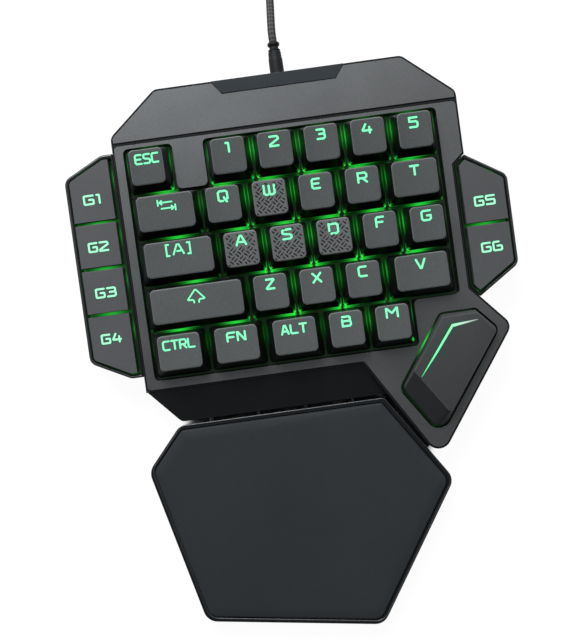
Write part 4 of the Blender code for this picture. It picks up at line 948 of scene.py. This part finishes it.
thumbFilm = {
    "cell": 0.0006,
    "floor": 0.01,
    "outline": ((0.1000, -0.0176), (0.1143, -0.0391), (0.1433, 0.0017), (0.1350, 0.0110), (0.1204, 0.0110)),
    "housing": (0.12167, -0.00838, 0.0081),
    "bright": ((0.1060, -0.0082), (0.1190, 0.0100), 0.0033, 0.0045, 0.55),  # a painted streak of lamp light along the well's left wall
}


def leftOf(x, y, start, end):
    return (end[0] - start[0]) * (y - start[1]) - (end[1] - start[1]) * (x - start[0]) >= 0


def makeThumbFilm():
    outline = thumbFilm["outline"]
    middleX, middleY, half = thumbFilm["housing"]
    start, end, across, along, amount = thumbFilm["bright"]

    def inside(x, y):
        return (clearOf(x, y, [(middleX, middleY, half, half)])
                and all(leftOf(x, y, here, there) for here, there in zip(outline, outline[1:] + outline[:1])))

    def brightness(points):
        run = np.array(end) - np.array(start)
        length = np.linalg.norm(run)
        run = run / length
        offset = points - (np.array(start) + np.array(end)) / 2
        lengthwise = offset @ run
        sideways = offset @ np.array((-run[1], run[0]))
        return thumbFilm["floor"] + amount * np.exp(-(lengthwise / along) ** 2 - (sideways / across) ** 2)

    xs = [x for x, _ in outline]
    ys = [y for _, y in outline]
    filmGrid("thumbFilm", inside, brightness, (min(xs), min(ys), max(xs), max(ys)), thumbFilm["cell"], film["lift"],
             "keypad")


wingFilms = {
    "cell": 0.0005,
    "top": -0.00225,
    "plunger": 0.0027,
    "floor": 0.02,
    "left": {
        "box": (-0.0249, 0.00325, -0.0062, 0.0935),
        "cuts": ((-0.02575, 0.01153, -0.00955, 0.00303), (-0.00947, 0.09377, -0.02577, 0.08542)),
        "keys": ("macro_key_1", "macro_key_2", "macro_key_3", "macro_key_4"),
    },
    "right": {
        "box": (0.1356, 0.0155, 0.1542, 0.0775),
        "cuts": ((0.13027, 0.01245, 0.15497, 0.0286), (0.15499, 0.06343, 0.13029, 0.07898),
                 (0.13952, 0.07424, 0.13482, 0.07024), (0.13533, 0.0207, 0.15043, -0.01007)),
        "keys": ("macro_key_5", "macro_key_6"),
    },
    # beyond the key's edge, share of its length, size across and along, amount
    "inner": (0.0009, 0.72, 0.0009, 0.0032, 0.3),
    "outer": (0.0006, 0.85, 0.0009, 0.0035, 0.16),
    "between": (0.0006, 0.0050, 0.0010, 0.32),  # in front of each key: how far, size, amount
    "rearOuter": {"left": (-0.0195, 0.0895), "right": (0.1495, 0.0665)},
    "rearLight": (0.0035, 0.0030, 0.2),
}


def makeWingFilm(side):
    facts = wingFilms[side]
    toDeck = deckMatrix.inverted()
    holes = []
    extents = []
    for node in facts["keys"]:
        corners = [toDeck @ vert.co for vert in nodes[node].data.vertices]
        low = Vector([min(corner[axis] for corner in corners) for axis in range(3)])
        high = Vector([max(corner[axis] for corner in corners) for axis in range(3)])
        holes.append((*((low + high) / 2).xy, wingFilms["plunger"], wingFilms["plunger"]))
        extents.append((low, high))

    def inside(x, y):
        return clearOf(x, y, holes) and all(leftOf(x, y, cut[:2], cut[2:]) for cut in facts["cuts"])

    spots = []
    for low, high in extents:
        for name, right in (("inner", side == "left"), ("outer", side == "right")):
            away, share, *light = wingFilms[name]
            x = high.x + away if right else low.x - away
            spots.append((x, low.y + (high.y - low.y) * share, *light))
        away, *light = wingFilms["between"]
        spots.append(((low.x + high.x) / 2, low.y - away, *light))
    spots.append((*wingFilms["rearOuter"][side], *wingFilms["rearLight"]))

    def brightness(points):
        return wingFilms["floor"] + spotsGlow(points, spots)

    filmGrid(side + "WingFilm", inside, brightness, facts["box"], wingFilms["cell"], wingFilms["top"], "keypad")


makePlateFilm()
makeThumbFilm()
makeWingFilm("left")
makeWingFilm("right")
print("light films made")


# Carried-over CAD solids: welded, their sharp edges rounded, and given their finish
solids = (  # nodes, finish, how far the edges are rounded, slot
    (("top_frame",), framePaint, 0.00034, "frame_paint"),
    (("rear_cover",), coverPaint, 0.00034, "frame_paint"),
    (("rear_inlay",), inlayGloss, 0.0001, "gloss_black"),
    (("bottom_case",), casePlastic, 0.0002, "case_black"),
    (("left_wing", "right_wing"), wingPlastic, 0.00025, "wing_black"),
    (("wrist_rest_base",), glossPlastic, 0.00025, "gloss_black"),
    (("wrist_rest_pad",), padCoating, 0.0, "pad_coating"),
    (("switch_plate",), housingPlastic, 0.0, "housing_black"),
    (("circuit_board", "left_button_board", "right_button_board"), boardLaminate, 0.0, "board"),
    (("front_rubber_foot", "left_rubber_foot", "right_rubber_foot", "rest_rear_rubber_foot",
      "rest_front_rubber_foot"), footRubber, 0.00015, "foot_rubber"),
    (("left_tilt_foot", "right_tilt_foot"), casePlastic, 0.0002, "case_black"),
    (("usb_plug",), casePlastic, 0.0003, "case_black"),
    (("usb_shell",), plugMetal, 0.00008, "plug_metal"),
    (["macro_key_%d" % number for number in range(1, 7)], sideKeyTop, 0.0003, "keycaps"),
)
dressing = {
    "weld": 0.000005,
    "flat": math.radians(0.5),
    "sharp": math.radians(32),
    "weight": 80,
}


def dress(node, finish, rounding, slot):
    solid = nodes[node]
    solid.data.materials.clear()
    solid.data.materials.append(finish)
    weld = solid.modifiers.new("weld", "WELD")
    weld.merge_threshold = dressing["weld"]
    flat = solid.modifiers.new("flat", "DECIMATE")
    flat.decimate_type = "DISSOLVE"
    flat.angle_limit = dressing["flat"]
    if rounding:
        edges = solid.modifiers.new("edges", "BEVEL")
        edges.width = rounding
        edges.segments = 2
        edges.limit_method = "ANGLE"
        edges.angle_limit = dressing["sharp"]
        edges.use_clamp_overlap = True
        edges.harden_normals = False
    solid.data.shade_smooth()
    soft = solid.modifiers.new("shading", "WEIGHTED_NORMAL")
    soft.keep_sharp = True
    soft.weight = dressing["weight"]


for group, finish, rounding, slot in solids:
    for node in group:
        dress(node, finish, rounding, slot)
print("solids dressed")


# Outlines of (x, y, fillet)
outlineFacts = {"leastFillet": 0.0002, "steps": 6}


def grown(corners, distance):
    # Moves every edge out by a distance, or in by a negative one
    result = []
    for at, (x, y, fillet) in enumerate(corners):
        before, after = corners[at - 1], corners[(at + 1) % len(corners)]
        arriving = Vector((x - before[0], y - before[1])).normalized()
        leaving = Vector((after[0] - x, after[1] - y)).normalized()
        shift = Vector((arriving.y + leaving.y, -arriving.x - leaving.x)) * (distance / (1 + arriving.dot(leaving)))
        result.append((x + shift.x, y + shift.y, max(fillet + distance, outlineFacts["leastFillet"])))
    return result


def filleted(corners):
    # Points of an outline whose corners are rounded, the same number for each corner
    steps = outlineFacts["steps"]
    points = []
    for at, (x, y, fillet) in enumerate(corners):
        corner = Vector((x, y))
        before = (Vector(corners[at - 1][:2]) - corner).normalized()
        after = (Vector(corners[(at + 1) % len(corners)][:2]) - corner).normalized()
        halfAngle = before.angle(after) / 2
        reach = fillet / math.tan(halfAngle)
        centre = corner + (before + after).normalized() * (reach / math.cos(halfAngle))
        first = corner + before * reach - centre
        last = corner + after * reach - centre
        sweep = math.atan2(first.cross(last), first.dot(last))
        points += [centre + Matrix.Rotation(sweep * step / steps, 2) @ first for step in range(steps + 1)]
    return points


# Thumb key: its outlines are the CAD model's, on the deck
thumb = {
    "foot": ((0.10101, -0.01749, 0.0032), (0.11443, -0.0383, 0.0045), (0.14328, 0.00174, 0.0026),
             (0.13507, 0.0108, 0.0008), (0.12057, 0.0108, 0.0022)),
    "top": ((0.10611, -0.0107, 0.0012), (0.11883, -0.02979, 0.0012), (0.14198, 0.00145, 0.0012),
            (0.13499, 0.00974, 0.0012), (0.12074, 0.00967, 0.0012)),
    "switch": (0.12167, -0.00838),
    "skirt": 0.0042,
    "shoulder": 0.0074,
    "height": 0.0115,
    "wall": 0.0012,
    "roof": 0.0016,
    "postSink": 0.75,  # how far up into the roof the post reaches
    "rim": 0.0003,
    "levels": (  # outline, how far out in rims, height, how far below it in rims
        ("foot", 0, "skirt", 0), ("foot", 0, "shoulder", 1), ("foot", -1 / 3, "shoulder", 0),
        ("top", 0.4, "height", 1), ("top", 0, "height", 0.25), ("top", -1, "height", 0),
    ),
    "slash": ((0.10885, -0.01337), (0.10908, -0.01342), (0.11692, -0.00425), (0.12432, 0.00515), (0.13489, 0.00672),
              (0.13494, 0.00700), (0.12402, 0.0064)),
    "slashEdge": ((0.1086, -0.0133), (0.10925, -0.01355), (0.1174, -0.0045), (0.1246, 0.0047), (0.1349, 0.0065),
                  (0.13494, 0.00702), (0.12345, 0.0071)),
    "slashRise": 0.00005,
    "slashEdgeShare": 0.4,  # of the rise
    "slashRamp": (  # the two ends, then the stops between them
        (0.0, (0.03, 0.75, 0.22)), (1.0, (0.2, 0.21, 0.21)), (0.1, (0.08, 0.95, 0.3)), (0.3, (0.16, 1.0, 0.46)),
        (0.55, (0.24, 0.9, 0.42)), (0.68, (0.42, 0.8, 0.55)), (0.8, (0.55, 0.63, 0.58)), (0.92, (0.4, 0.42, 0.41)),
    ),
    "facet": range(3, 11),  # the points of every ring that lie on the low facet
    "smooth": math.radians(25),
}


def makeThumbKey():
    shape = bmesh.new()
    rim, wall, roof = thumb["rim"], thumb["wall"], thumb["roof"]

    def level(outline, offset, z):
        return ringOf(shape, [(*point, z) for point in filleted(grown(thumb[outline], offset))])

    rings = [level(outline, out * rim, thumb[height] - down * rim) for outline, out, height, down in thumb["levels"]]
    # The rim rings at the top take the lighter finish, a painted highlight
    for at, (lower, upper) in enumerate(zip(rings, rings[1:])):
        bridge(shape, lower, upper, 3 if at > 2 else 0)
    shape.faces.new(rings[-1]).material_index = 1
    shape.verts.index_update()
    size = len(rings[0])
    # The low facet takes the darker finish, a painted shade
    for face in shape.faces:
        if face.material_index == 0 and all(vert.index % size in thumb["facet"] for vert in face.verts):
            face.material_index = 2
    mouth = level("foot", -wall, thumb["skirt"])
    waist = level("foot", -wall, thumb["shoulder"] - roof)
    ceiling = level("top", -wall, thumb["height"] - roof)
    bridge(shape, mouth, rings[0], 4)
    bridge(shape, waist, mouth, 4)
    bridge(shape, ceiling, waist, 4)
    shape.faces.new(ceiling[::-1]).material_index = 4
    sliderInto(shape, *thumb["switch"], thumb["height"] - roof * thumb["postSink"], wall, 4)
    settle(shape, deckMatrix)
    piece = newPiece("thumbKey", shape, (thumbPlastic, thumbPlastic, thumbFacetShade, thumbRimHighlight, capInside), "thumb_key",
                     smooth=thumb["smooth"])
    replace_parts(piece, "thumb_key")


# The light slash in the thumb key fades from mint to white at its thin end
def slashMaterial():
    material, shader = newMaterial("slashGlow", (0.1, 0.15, 0.12), 0.3)
    low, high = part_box("thumb_light")
    place = addNode(material, "ShaderNodeTexCoord")
    split = addNode(material, "ShaderNodeSeparateXYZ")
    link(material, place.outputs["Object"], split.inputs["Vector"])
    tint = addNode(material, "ShaderNodeValToRGB")
    link(material, mapped(material, split.outputs["X"], (low.x, high.x)), tint.inputs["Fac"])
    stops = tint.color_ramp.elements
    for at, (position, colour) in enumerate(thumb["slashRamp"]):
        stop = stops[at] if at < 2 else stops.new(position)
        stop.position = position
        stop.color = (*colour, 1)
    link(material, tint.outputs["Color"], shader.inputs["Emission Color"])
    shader.inputs["Emission Strength"].default_value = 1.0
    return material


def makeSlash():
    shape = bmesh.new()
    # The wider outline under the slash carries the painted glow halo
    for outline, share, index in ((thumb["slashEdge"], thumb["slashEdgeShare"], 1), (thumb["slash"], 1.0, 0)):
        top = thumb["height"] + thumb["slashRise"] * share
        rings = [ringOf(shape, [(x, y, z) for x, y in outline]) for z in (thumb["height"] - thumb["slashRise"], top)]
        skin(shape, rings, index)
    settle(shape, deckMatrix)
    piece = newPiece("thumbSlash", shape, (slashMaterial(), paintedGlowHalo), "thumb_key")
    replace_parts(piece, "thumb_light")


makeThumbKey()
makeSlash()
print("thumb key made")


# Rounded trims on the rims of the wings and of the wrist rest: the rounded crest is the rims' own shape, and its
# brighter, more reflective finish is a painted highlight
trim = {
    "half": 0.00042,
    "rise": 0.00022,
    "sink": 0.00006,
    "profile": ((-0.92, 0.3), (-0.62, 0.78), (0, 1), (0.62, 0.78), (0.92, 0.3)),
    "wingTop": 0.005,
    "wingInset": 0.00062,
    "left": ((-0.0052, 0.0017, 0.0002), (-0.01025, 0.0017, 0.004), (-0.02645, 0.0102, 0.004),
             (-0.02645, 0.08675, 0.004), (-0.01015, 0.0951, 0.004), (-0.0052, 0.0951, 0.0002)),
    "right": ((0.14, 0.01719, 0.0002), (0.15579, 0.02735, 0.004), (0.15579, 0.0647, 0.004),
              (0.1396, 0.0749, 0.0002)),
    "restShares": ((0, 0.8177), (0.1246, 0.1198), (0.706, 0), (1, 0.5971), (0.8053, 1), (0.1199, 1)),
    "restCorners": (0.0065, 0.006, 0.006, 0.006, 0.0025, 0.004),
    "restSize": (0.126, 0.0939),
    "restInset": 0.00066,
    "restHeight": 0.015,
    "restSlope": math.radians(3.2),
}


def beadInto(shape, path, closed, height):
    profile = [(-trim["half"], -trim["sink"])]
    profile += [(across * trim["half"], up * trim["rise"]) for across, up in trim["profile"]]
    profile += [(trim["half"], -trim["sink"])]
    rings = []
    for at, point in enumerate(path):
        before = path[at - 1] if at or closed else point
        after = path[(at + 1) % len(path)] if at + 1 < len(path) or closed else point
        rings.append(ridgeRing(shape, point, leftward((after - before).normalized()), profile, height))
    skin(shape, rings, closed=closed)
    bmesh.ops.recalc_face_normals(shape, faces=shape.faces)


def makeTrims():
    for side in ("left", "right"):
        shape = bmesh.new()
        path = filleted(grown(trim[side] if side == "right" else trim[side][::-1], -trim["wingInset"]))
        steps = len(path) // len(trim[side])
        path = path[steps // 2:-(steps // 2)]
        beadInto(shape, path, False, lambda x, y: trim["wingTop"])
        bmesh.ops.transform(shape, matrix=deckMatrix, verts=shape.verts)
        newPiece(side + "WingRimHighlight", shape, (wingRimHighlight,), "keypad")
    low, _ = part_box("wrist_rest_base")
    wide, deep = trim["restSize"]
    outline = [(low.x + x * wide, low.y + y * deep, fillet)
               for (x, y), fillet in zip(trim["restShares"], trim["restCorners"])]
    rear = low.y + deep
    shape = bmesh.new()
    beadInto(shape, filleted(grown(outline, -trim["restInset"])), True,
             lambda x, y: trim["restHeight"] + (y - rear) * math.tan(trim["restSlope"]))
    newPiece("restRimHighlight", shape, (restRimHighlight,), "wrist_rest")


makeTrims()
print("trims made")


# Strain relief: a turned sleeve with two dimples on top
relief = {
    "wallRadius": 0.00305,
    "length": 0.017,
    "profile": (  # share of the length, share of the radius
        (-0.08, 1.0), (0.0, 1.0), (0.3, 0.998), (0.5, 0.99), (0.575, 0.965), (0.585, 0.935), (0.6, 0.925),
        (0.72, 0.902), (0.735, 0.89), (0.742, 0.83), (0.75, 0.8), (0.765, 0.8), (0.772, 0.85), (0.78, 0.87),
        (0.79, 0.85), (0.8, 0.8), (0.815, 0.7), (0.835, 0.63), (0.865, 0.63), (0.88, 0.69), (0.895, 0.775),
        (0.915, 0.85), (0.94, 0.865), (0.958, 0.855), (0.972, 0.81), (0.985, 0.73), (1.0, 0.62),
    ),
    "sides": 40,
    "smooth": math.radians(35),
    "dimpleSpots": (-0.0012, 0.0012),
    "dimpleAlong": 0.0016,
    "dimpleRadius": 0.00042,
    "dimpleDepth": 0.002,
    "dimpleSides": 16,
}


def makeRelief():
    low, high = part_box("strain_relief")
    x = (low.x + high.x) / 2
    z = (low.z + high.z) / 2
    root = high.y - relief["length"]
    shape = bmesh.new()
    skin(shape, [ringOf(shape, [(x + relief["wallRadius"] * size * across, root + along * relief["length"],
                                 z - relief["wallRadius"] * size * up) for across, up in circle(relief["sides"])])
                 for along, size in relief["profile"]])
    settle(shape)
    sleeve = newPiece("strainRelief", shape, (casePlastic,), "keypad")
    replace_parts(sleeve, "strain_relief")
    tools = bmesh.new()
    for side in relief["dimpleSpots"]:
        cylinderInto(tools, relief["dimpleSides"], relief["dimpleRadius"], relief["dimpleDepth"],
                     (x + side, root + relief["dimpleAlong"], z + relief["wallRadius"]))
    settle(tools)
    tool = meshObject("dimples", tools)
    cut = sleeve.modifiers.new("cut", "BOOLEAN")
    cut.object = tool
    cut.operation = "DIFFERENCE"
    cut.solver = "EXACT"
    graph = bpy.context.evaluated_depsgraph_get()
    made = bpy.data.meshes.new_from_object(sleeve.evaluated_get(graph))
    sleeve.modifiers.clear()
    sleeve.data = made
    made.shade_smooth()
    made.set_sharp_from_angle(angle=relief["smooth"])
    bpy.data.objects.remove(tool)


makeRelief()
print("strain relief made")


# Cord: its route's points are the CAD model's, from the strain relief to the coil and the plug
cord = {
    "diameter": 0.0035,
    "length": 1.5,
    "gap": 0.0003,
    "clearance": 0.00046,
    "layers": 4,
    "turns": 13.25,
    "points": 24,
    "coilMiddle": (0.0925, 0.184),
    "tailLength": 0.045,
    "leadShare": 0.14,
    "plugThickness": 0.0076,
    "route": ((0.0, 0.0, 0.0), (0.0, 0.0045, -0.0001), (0.0006, 0.0125, -0.0025), (0.0014, 0.0225, -0.0065),
              (0.0018, 0.0325, -0.0076), (0.0014, 0.0395, -0.00765), (0.0012, 0.0445, -0.00765)),
    "sides": 14,
    "smooth": math.radians(60),
    "yarns": 8,
    "slant": 2.2,
    "weave": (-0.6, 0.6),
    "dark": (0.01, 0.01, 0.011),
    "light": (0.075, 0.077, 0.08),
    "bump": (0.8, 0.0002),
}


def smooth(points, steps):
    padded = [2 * points[0] - points[1], *points, 2 * points[-1] - points[-2]]
    result = []
    for a, b, c, d in zip(padded, padded[1:], padded[2:], padded[3:]):
        for step in range(steps):
            t = step / steps
            result.append(0.5 * (2 * b + (c - a) * t + (2 * a - 5 * b + 4 * c - d) * t ** 2
                                 + (3 * b - a - 3 * c + d) * t ** 3))
    result.append(points[-1])
    return result


def runLength(points):
    return sum((after - before).length for before, after in zip(points, points[1:]))


def ease(share):
    share = min(max(share, 0), 1)
    return share * share * (3 - 2 * share)


def coilPath(middleRadius):
    pitch = cord["diameter"] + cord["clearance"]
    rest = cord["diameter"] / 2
    layerTurns = cord["turns"] / cord["layers"]
    outer = middleRadius + pitch * layerTurns / 2
    inner = middleRadius - pitch * layerTurns / 2
    count = round(cord["turns"] * cord["points"])
    points = []
    for index in range(count + 1):
        turn = cord["turns"] * index / count
        layer = min(int(turn / layerTurns), cord["layers"] - 1)
        along = turn - layer * layerTurns
        radius = outer - pitch * along if layer % 2 == 0 else inner + pitch * along
        height = rest + pitch * sum(ease(2 * (turn - step * layerTurns) + 0.5) for step in range(1, cord["layers"]))
        angle = math.pi - 2 * math.pi * turn
        points.append(Vector((cord["coilMiddle"][0] + radius * math.cos(angle),
                              cord["coilMiddle"][1] + radius * math.sin(angle), height)))
    start = points[0] - Vector((0, cord["diameter"], 0))
    last = points[-1]
    tail = []
    steps = round(cord["tailLength"] / (2 * pitch))
    for step in range(1, steps + 1):
        share = step / steps
        drop = ease((share - cord["leadShare"]) / (1 - 2 * cord["leadShare"]))
        tail.append(Vector((last.x + cord["tailLength"] * share, last.y,
                            last.z + (cord["plugThickness"] / 2 - last.z) * drop)))
    return [start, *points, *tail, tail[-1] + Vector((cord["diameter"], 0, 0))]


def cordRoute():
    low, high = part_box("strain_relief")
    tip = Vector(((low.x + high.x) / 2, high.y + cord["gap"], (low.z + high.z) / 2))
    free = smooth([tip + Vector(point) for point in cord["route"]], 2)
    rest = cord["length"] - runLength(free)
    radius = rest / (2 * math.pi * cord["turns"])
    for _ in range(4):
        radius += (rest - runLength(coilPath(radius))) / (2 * math.pi * cord["turns"])
    path = coilPath(radius)
    shift = free[-1] + Vector((0, cord["gap"], 0)) - path[0]
    return tip, [*free[:-1], *[point + shift for point in path]]


def braidMaterial():
    # Two sets of slanting yarns over and under each other, from the tube's own map
    material, shader = newMaterial("cordBraid", (0.02, 0.02, 0.021), 0.65, 0.0, 0.3)
    place = addNode(material, "ShaderNodeUVMap", uv_map="braid")
    split = addNode(material, "ShaderNodeSeparateXYZ")
    link(material, place.outputs["UV"], split.inputs["Vector"])
    waves = []
    for operation in ("ADD", "SUBTRACT"):
        slant = reckoned(material, operation, split.outputs["X"], split.outputs["Y"])
        waves.append(reckoned(material, "SINE", reckoned(material, "MULTIPLY", slant, 2 * math.pi)))
    tone = mapped(material, reckoned(material, "MULTIPLY", *waves), cord["weave"])
    link(material, blended(material, tone, cord["dark"], cord["light"]), shader.inputs["Base Color"])
    bumped(material, shader, tone, *cord["bump"])
    return material


def makeCord():
    tip, path = cordRoute()
    shape = bmesh.new()
    mapLayer = shape.loops.layers.uv.new("braid")
    sides = cord["sides"]
    radius = cord["diameter"] / 2
    normal = Vector((0, 0, 1))
    rings = []
    along = []
    travelled = 0.0
    for index, point in enumerate(path):
        before = path[max(index - 1, 0)]
        after = path[min(index + 1, len(path) - 1)]
        ahead = (after - before).normalized()
        normal = (normal - ahead * normal.dot(ahead)).normalized()
        side = ahead.cross(normal)
        rings.append(ringOf(shape, [point + (normal * up + side * across) * radius for up, across in circle(sides)]))
        if index:
            travelled += (point - path[index - 1]).length
        along.append(travelled / (cord["slant"] * cord["diameter"] / 4))
    for index, (lower, upper) in enumerate(zip(rings, rings[1:])):
        for at in range(sides):
            after = (at + 1) % sides
            face = shape.faces.new((lower[at], upper[at], upper[after], lower[after]))
            for loop, (u, v) in zip(face.loops, ((at, along[index]), (at, along[index + 1]),
                                                 (at + 1, along[index + 1]), (at + 1, along[index]))):
                loop[mapLayer].uv = (u / sides * cord["yarns"] / 2, v / 2)
    shape.faces.new(rings[0])
    shape.faces.new(rings[-1][::-1])
    bmesh.ops.recalc_face_normals(shape, faces=shape.faces)
    lead = newPiece("braidedCord", shape, (braidMaterial(),), "keypad", smooth=cord["smooth"])
    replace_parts(lead, "cord", "cord_coil")
    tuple(tip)
    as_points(path)


makeCord()
print("cord made")


# Stage: a white floor, a dome of light that is brighter behind the keypad, and one soft lamp
stage = {
    "ambient": 0.75,
    "bright": 1.0,  # the dome's level behind the keypad
    "dim": 0.12,  # and in front of it
    "axis": (-0.08, 0.95, 0.25),
    "turn": (0.0, 0.5),  # where along the axis the dome goes from dim to bright
    "floorWhite": 0.95,
    "paper": 0.1,
    "floorReach": 3.0,
    # The floor's painted shade in narrow gaps: how far the occlusion looks, its samples, and the openness that runs
    # from dark to white
    "gapReach": 0.014,
    "gapSamples": 32,
    "gapOpenness": (0.2, 0.34),
    "lamps": (  # spot and target in metres, size, power, tint
        ((-0.14, 0.56, 0.6), (0.0, 0.02, 0.0), 0.5, 7.0, (1.0, 0.99, 0.98)),
    ),
}


def makeWorld():
    world = bpy.data.worlds.new("studio")
    bpy.context.scene.world = world
    world.use_nodes = True
    back = world.node_tree.nodes["Background"]
    back.inputs["Color"].default_value = (1, 1, 1, 1)
    place = addNode(world, "ShaderNodeTexCoord")
    along = addNode(world, "ShaderNodeVectorMath", operation="DOT_PRODUCT")
    along.inputs[1].default_value = Vector(stage["axis"]).normalized()
    link(world, place.outputs["Generated"], along.inputs[0])
    dome = mapped(world, along.outputs["Value"], stage["turn"], (stage["dim"], stage["bright"]),
                  interpolation_type="SMOOTHSTEP")
    # Gloss sees the dome at its full level, dull surfaces a little less, and the camera sees white
    lit = mapped(world, seenBy(world, "Is Glossy Ray"), toRange=(stage["ambient"], 1))
    level = reckoned(world, "MAXIMUM", reckoned(world, "MULTIPLY", dome, lit),
                     seenBy(world, "Is Camera Ray", "Is Transmission Ray"))
    link(world, level, back.inputs["Strength"])


def floorMaterial():
    # White to the eye and to gloss, with painted shade in narrow gaps taken from ambient occlusion; dull surfaces get
    # little light from it
    material, shader = newMaterial("floorPaper", (0.2, 0.2, 0.2), 0.9, 0.0, 0.1)
    openness = addNode(material, "ShaderNodeAmbientOcclusion", samples=stage["gapSamples"])
    openness.inputs["Distance"].default_value = stage["gapReach"]
    white = mapped(material, openness.outputs["AO"], stage["gapOpenness"], (0, stage["floorWhite"]))
    shine = addNode(material, "ShaderNodeEmission")
    link(material, white, shine.inputs["Strength"])
    paper = addNode(material, "ShaderNodeBsdfDiffuse")
    paper.inputs["Color"].default_value = (*[stage["paper"]] * 3, 1)
    both = addNode(material, "ShaderNodeAddShader")
    link(material, shine.outputs["Emission"], both.inputs[0])
    link(material, paper.outputs["BSDF"], both.inputs[1])
    mix = addNode(material, "ShaderNodeMixShader")
    link(material, seenBy(material, "Is Camera Ray", "Is Glossy Ray", "Is Transmission Ray"), mix.inputs["Fac"])
    link(material, shader.outputs["BSDF"], mix.inputs[1])
    link(material, both.outputs["Shader"], mix.inputs[2])
    link(material, mix.outputs["Shader"], material.node_tree.nodes["Material Output"].inputs["Surface"])
    return material


def makeStage():
    bpy.context.scene.view_settings.view_transform = "Standard"
    makeWorld()
    mesh = bpy.data.meshes.new("floor")
    mesh.from_pydata([(x * stage["floorReach"], y * stage["floorReach"], 0)
                      for x, y in ((-1, -1), (1, -1), (1, 1), (-1, 1))], [], [(0, 1, 2, 3)])
    floor = newObject("floor", mesh)
    mesh.materials.append(floorMaterial())
    for spot, target, size, power, tint in stage["lamps"]:
        data = bpy.data.lights.new("softLamp", "AREA")
        data.shape = "SQUARE"
        data.size = size
        data.energy = power
        data.color = tint
        lamp = newObject("softLamp", data)
        lamp.location = spot
        lamp.rotation_euler = (Vector(target) - Vector(spot)).to_track_quat("-Z", "Y").to_euler()


makeStage()
print("stage set")
